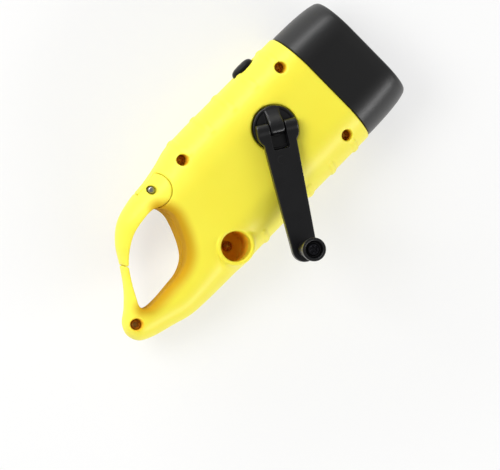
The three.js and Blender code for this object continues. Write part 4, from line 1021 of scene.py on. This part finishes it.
class FLASHLIGHT_OT_lamps(bpy.types.Operator):
    """Presses the reflector's three bowls and casts the lamps that sit in them"""

    bl_idname = "flashlight.lamps"
    bl_label = "Reflector and lamps"

    def execute(self, context):
        sides = context.scene.flashlight_head.lamp_sides
        back, front = (box[0] for box in node_box("reflector"))
        centres = [side * BOWL_SPACING for side in (-1, 0, 1)]
        step, half_thick = 0.3, 0.6
        low = (front - 1.6, -21.53, -14.53)
        x, y, z = field_axes(low, (front + 0.4, 21.5, 14.5), step)
        outline = polygon_distance(head_ring([-LENS_INSET])[0], y, z)
        plate = round_max(outline, np.abs(x - front + half_thick) - half_thick, CUT_ROUND)
        for centre in centres:
            plate = np.maximum(plate, -drum(y, z, (centre, 0), BOWL_RADIUS + 0.1))
        points, faces = field_surface(plate, low, step)
        points = points + (0, 0, MIDDLE)
        deep = np.linspace(0, 1, 24)
        bowl = np.stack([LED_HOLE + (BOWL_RADIUS - LED_HOLE) * deep, (front - back) * deep**2], axis=-1)
        outer = bowl + (BOWL_SKIN, 0)
        shell, quads = lathe(np.vstack([outer, bowl[::-1], outer[:1]]), sides)
        for centre in centres:
            faces = np.vstack([faces, quads + len(points)])
            points = np.vstack([points, along_x(shell, back, centre)])
        make_piece("pressed_reflector", points, faces, "chrome", "case", "reflector")

        foot = rounded([
            (0, 0), (LED_FLANGE, 0), (LED_FLANGE, 1), (LED_RADIUS, 1), (LED_RADIUS, LED_STRAIGHT),
        ], 0.15)
        turn = np.linspace(0, np.pi / 2, 12)
        dome = LED_RADIUS * np.stack([np.cos(turn), np.sin(turn)], axis=-1) + (0, LED_STRAIGHT)
        lamp = np.vstack([foot[:-1], dome])
        cup = rounded([(0, 2.0), (0.45, 2.0), (0.95, 3.1), (1.2, 3.1), (1.2, 1.2), (0, 1.2)], 0.1)
        phosphor = [(0, 3.0), (0.5, 2.95), (0.75, 2.75), (0.4, 2.05), (0, 2.05)]
        for name in ("led_right", "led_centre", "led_left"):
            low, high = node_box(name)
            for piece, profile, finish, node, slot in (
                ("cast", lamp, "epoxy", name, "clear_plastic"),
                ("pressed_cup", cup, "steel", None, "steel"),
                ("phosphor", phosphor, "phosphor", None, None),
            ):
                points, faces = lathe(profile, sides)
                points = along_x(points, low[0], (low[1] + high[1]) / 2)
                make_piece(f"{piece}_{name}", points, faces, finish, "case", node)
        return {"FINISHED"}


class FLASHLIGHT_OT_button(bpy.types.Operator):
    """Moulds the domed oval push button"""

    bl_idname = "flashlight.button"
    bl_label = "Push button"

    def execute(self, context):
        low = node_box("switch_button")[0][1]
        out = HALF_WIDTH + BUTTON_PROUD
        rows = smooth_curve(np.array([
            (out, BUTTON_CORE), (out - 0.06, -2.6), (out - 0.35, -1.3), (out - 0.9, -0.45), (out - 1.6, -0.08),
            (out - 2.4, 0), (FLANGE_FACE, 0),
        ]), 4)
        flange = rounded([
            (FLANGE_FACE, 0), (FLANGE_FACE, BUTTON_FLANGE), (FLANGE_BACK, BUTTON_FLANGE),
            (FLANGE_BACK, BUTTON_STEM), (low, BUTTON_STEM), (low, BUTTON_CORE),
        ], 0.2)
        profile = np.vstack([rows[:-1], flange])
        sides = 64
        turn = np.linspace(0, 2 * np.pi, sides, endpoint=False)
        grow = profile[:, 1:]
        x = SWITCH_X + (BUTTON_HALF_LENGTH + grow) * np.cos(turn)
        z = MIDDLE + (BUTTON_HALF_HEIGHT + grow) * np.sin(turn)
        points = np.stack([x, profile[:, :1] + 0 * turn, z], axis=-1).reshape(-1, 3)
        faces = grid_faces(len(profile), sides)
        make_piece("moulded_switch_button", points, faces, "button", "button", "switch_button")
        return {"FINISHED"}


def screw_surface(node, radius, height, shank, depth):
    """A pan head with a cross recess on a pointed shank, as tall as a node. The profile is turned about Z, and
    each point of the head's top sinks by the recess depth where the lesser of its plan offsets is under the
    slot's half width and the greater is under its reach, with soft walls."""
    low, high = node_box(node)
    reach = high[2] - low[2] - height
    dome = [(radius * math.cos(t), height * (0.35 + 0.65 * math.sin(t))) for t in np.linspace(0, np.pi / 2, 26)]
    profile = [(0, -reach), (shank * 0.4, -reach), (shank, -reach + 2 * shank), (shank, 0), (radius, 0)] + dome
    points, faces = lathe(profile, 72)
    near = np.minimum(abs(points[:, 0]), abs(points[:, 1]))
    far = np.maximum(abs(points[:, 0]), abs(points[:, 1]))
    slot = 1 - smoothstep(near, 0.16 * radius, 0.26 * radius)
    slot *= 1 - smoothstep(far, 0.56 * radius, 0.7 * radius)
    top = points[:, 2] > 0.3 * height
    points[:, 2] += high[2] - height - depth * slot * top
    return points, faces


class FLASHLIGHT_OT_screws(bpy.types.Operator):
    """Turns the case screws, the knob's screw and the gate's pin"""

    bl_idname = "flashlight.screws"
    bl_label = "Screws and gate pin"

    def execute(self, context):
        settings = context.scene.flashlight_screws
        for number in range(1, 6):
            node = f"case_screw_{number}"
            points, faces = screw_surface(
                node, settings.head_radius, SCREW_HEAD, shank=1.05, depth=settings.recess_depth)
            turn = math.radians(25 * number)
            points = turned(points, (math.cos(turn), math.sin(turn)), node_centre(node))
            make_piece(f"headed_{node}", points, faces, "yellow_zinc", "case", node)
        points, faces = screw_surface("knob_screw", radius=2.3, height=1.1, shank=1.3, depth=0.6)
        points += (KNOB[0], KNOB[1], 0)
        make_piece("headed_knob_screw", points, faces, "black_steel", "arm", "knob_screw")
        low, high = (box[2] for box in node_box("gate_pin"))
        radius, bevel = 1.25, 0.35
        pin = rounded([
            (0, low), (radius, low), (radius, high - bevel), (radius - bevel, high), (0, high),
        ], 0.15)
        points, faces = lathe(pin, 40)
        points += (PIVOT[0], PIVOT[1], 0)
        make_piece("turned_gate_pin", points, faces, "steel", "case", "gate_pin")
        return {"FINISHED"}


class FLASHLIGHT_OT_inner(bpy.types.Operator):
    """Gives the pieces inside the case their finishes"""

    bl_idname = "flashlight.inner"
    bl_label = "Finishes of the works"

    def execute(self, context):
        for finish, names in CAD_FINISHES.items():
            for name in names:
                mesh = frame["nodes"][name].data
                mesh.materials.clear()
                mesh.materials.append(MATERIALS[finish])
        return {"FINISHED"}


class FLASHLIGHT_OT_stage(bpy.types.Operator):
    """Lays the floor, hangs the soft boxes and aims the camera as the photograph does"""

    bl_idname = "flashlight.stage"
    bl_label = "Floor, lamps and camera"

    def execute(self, context):
        scene, settings = context.scene, context.scene.flashlight_stage
        material, tree, place = new_material("matt_white_paper")
        grain = add_node(tree, "TexNoise", {"Vector": place, "Scale": per_mm(1.2), "Detail": 3.0})
        paper = bumped_shader(tree, grain, strength=0.1, depth=0.02, sockets={
            "Base Color": settings.floor_colour, "Roughness": 0.9, "Specular IOR Level": 0.1,
        })
        # The eye, the gloss and the clear plastic see the floor as part plain white, so that it goes pale but
        # keeps the shadow
        share = 0.0
        for ray in ("Is Camera Ray", "Is Glossy Ray", "Is Transmission Ray"):
            kind = add_node(tree, "LightPath").outputs[ray]
            share = add_node(tree, "Math", {0: kind, 1: share}, operation="MAXIMUM")
        share = add_node(tree, "Math", {0: share, 1: settings.whiten}, operation="MULTIPLY")
        white = add_node(tree, "Emission", {"Color": "#FFFFFF", "Strength": 1.0})
        mesh = bpy.data.meshes.new("paper_floor")
        reach = 3.0
        corners = [(-reach, -reach, 0), (reach, -reach, 0), (reach, reach, 0), (-reach, reach, 0)]
        mesh.from_pydata(corners, [], [range(4)])
        mesh.materials.append(finished(material, add_node(tree, "MixShader", {0: share, 1: paper, 2: white})))
        floor = bpy.data.objects.new("paper_floor", mesh)
        scene.collection.objects.link(floor)

        # A white tent whose top is closed by a dark cloth, which the flat black plastic mirrors
        world = bpy.data.worlds.new("studio")
        world.use_nodes = True
        tree = world.node_tree
        tree.nodes.clear()
        place = add_node(tree, "TexCoord").outputs["Generated"]
        height = add_node(tree, "SeparateXYZ", {"Vector": place}).outputs["Z"]
        level = add_node(tree, "MapRange", {
            "Value": height, "From Min": CLOTH_FROM, "From Max": CLOTH_FULL,
            "To Min": settings.tent, "To Max": settings.cloth,
        }, interpolation_type="SMOOTHSTEP")
        back = add_node(tree, "Background", {"Color": "#FFFFFF", "Strength": level})
        add_node(tree, "OutputWorld", {"Surface": back})
        scene.world = world

        target = np.array(LOOK_AT) * MM
        for name, place, width, length, power in (
            ("left_box", (0.05, 0.75, 0.22), 0.16, 0.9, settings.key),
            ("right_box", (0.05, -0.72, 0.34), 0.16, 0.9, settings.key * 1.1),
            ("tail_box", (-0.35, 0.55, 0.85), 0.5, 0.5, settings.key * 1.8),
        ):
            lamp = bpy.data.lights.new(name, "AREA")
            lamp.shape = "RECTANGLE"
            lamp.size, lamp.size_y = length, width
            lamp.energy = power
            holder = bpy.data.objects.new(name, lamp)
            scene.collection.objects.link(holder)
            holder.location = place
            aim = Vector(target) - Vector(place)
            holder.rotation_euler = aim.to_track_quat("-Z", "Y").to_euler()
            # The high lamp is a bare wall's light: it fills, and leaves no streak on the gloss
            holder.visible_glossy = name != "tail_box"

        right = PICTURE_RIGHT / np.linalg.norm(PICTURE_RIGHT)
        up = np.array(PICTURE_UP)
        up -= right * (up @ right)
        up /= np.linalg.norm(up)
        towards = np.cross(right, up)
        lens = bpy.data.cameras.new("photo_camera")
        lens.sensor_width = 36.0
        lens.lens = PIXELS_PER_MM * (settings.distance / MM) * lens.sensor_width / PICTURE_WIDTH
        lens.clip_end = 20
        camera = bpy.data.objects.new("photo_camera", lens)
        scene.collection.objects.link(camera)
        turn = Matrix(np.stack([right, up, towards], axis=1).tolist()).to_4x4()
        camera.matrix_world = Matrix.Translation(Vector(target + towards * settings.distance)) @ turn
        scene.camera = camera
        scene.view_settings.view_transform = "Standard"
        return {"FINISHED"}


PIECE_OPERATORS = (
    FLASHLIGHT_OT_case, FLASHLIGHT_OT_crank, FLASHLIGHT_OT_knob, FLASHLIGHT_OT_head, FLASHLIGHT_OT_lamps,
    FLASHLIGHT_OT_button, FLASHLIGHT_OT_screws, FLASHLIGHT_OT_inner, FLASHLIGHT_OT_stage,
)


class FLASHLIGHT_PT_build(bpy.types.Panel):
    """Lists the steps that build the flashlight"""

    bl_idname = "FLASHLIGHT_PT_build"
    bl_label = "Flashlight"
    bl_space_type = "VIEW_3D"
    bl_region_type = "UI"
    bl_category = "Flashlight"

    def draw(self, context):
        for operator in PIECE_OPERATORS:
            self.layout.operator(operator.bl_idname)
        for group in SETTINGS:
            for name in SETTINGS[group].__annotations__:
                self.layout.prop(getattr(context.scene, group), name)


SETTINGS = {
    "flashlight_case": CaseSettings,
    "flashlight_crank": CrankSettings,
    "flashlight_head": HeadSettings,
    "flashlight_screws": ScrewSettings,
    "flashlight_stage": StageSettings,
}


def register():
    for group, settings in SETTINGS.items():
        bpy.utils.register_class(settings)
        setattr(bpy.types.Scene, group, PointerProperty(type=settings))
    for operator in PIECE_OPERATORS:
        bpy.utils.register_class(operator)
    bpy.utils.register_class(FLASHLIGHT_PT_build)


def unregister():
    bpy.utils.unregister_class(FLASHLIGHT_PT_build)
    for operator in reversed(PIECE_OPERATORS):
        bpy.utils.unregister_class(operator)
    for group, settings in SETTINGS.items():
        delattr(bpy.types.Scene, group)
        bpy.utils.unregister_class(settings)


def main():
    """Builds every piece."""
    register()
    MATERIALS.update(make_materials(bpy.context.scene.flashlight_case))
    for operator in PIECE_OPERATORS:
        group, name = operator.bl_idname.split(".")
        getattr(getattr(bpy.ops, group), name)()


if __name__ == "__main__":
    main()
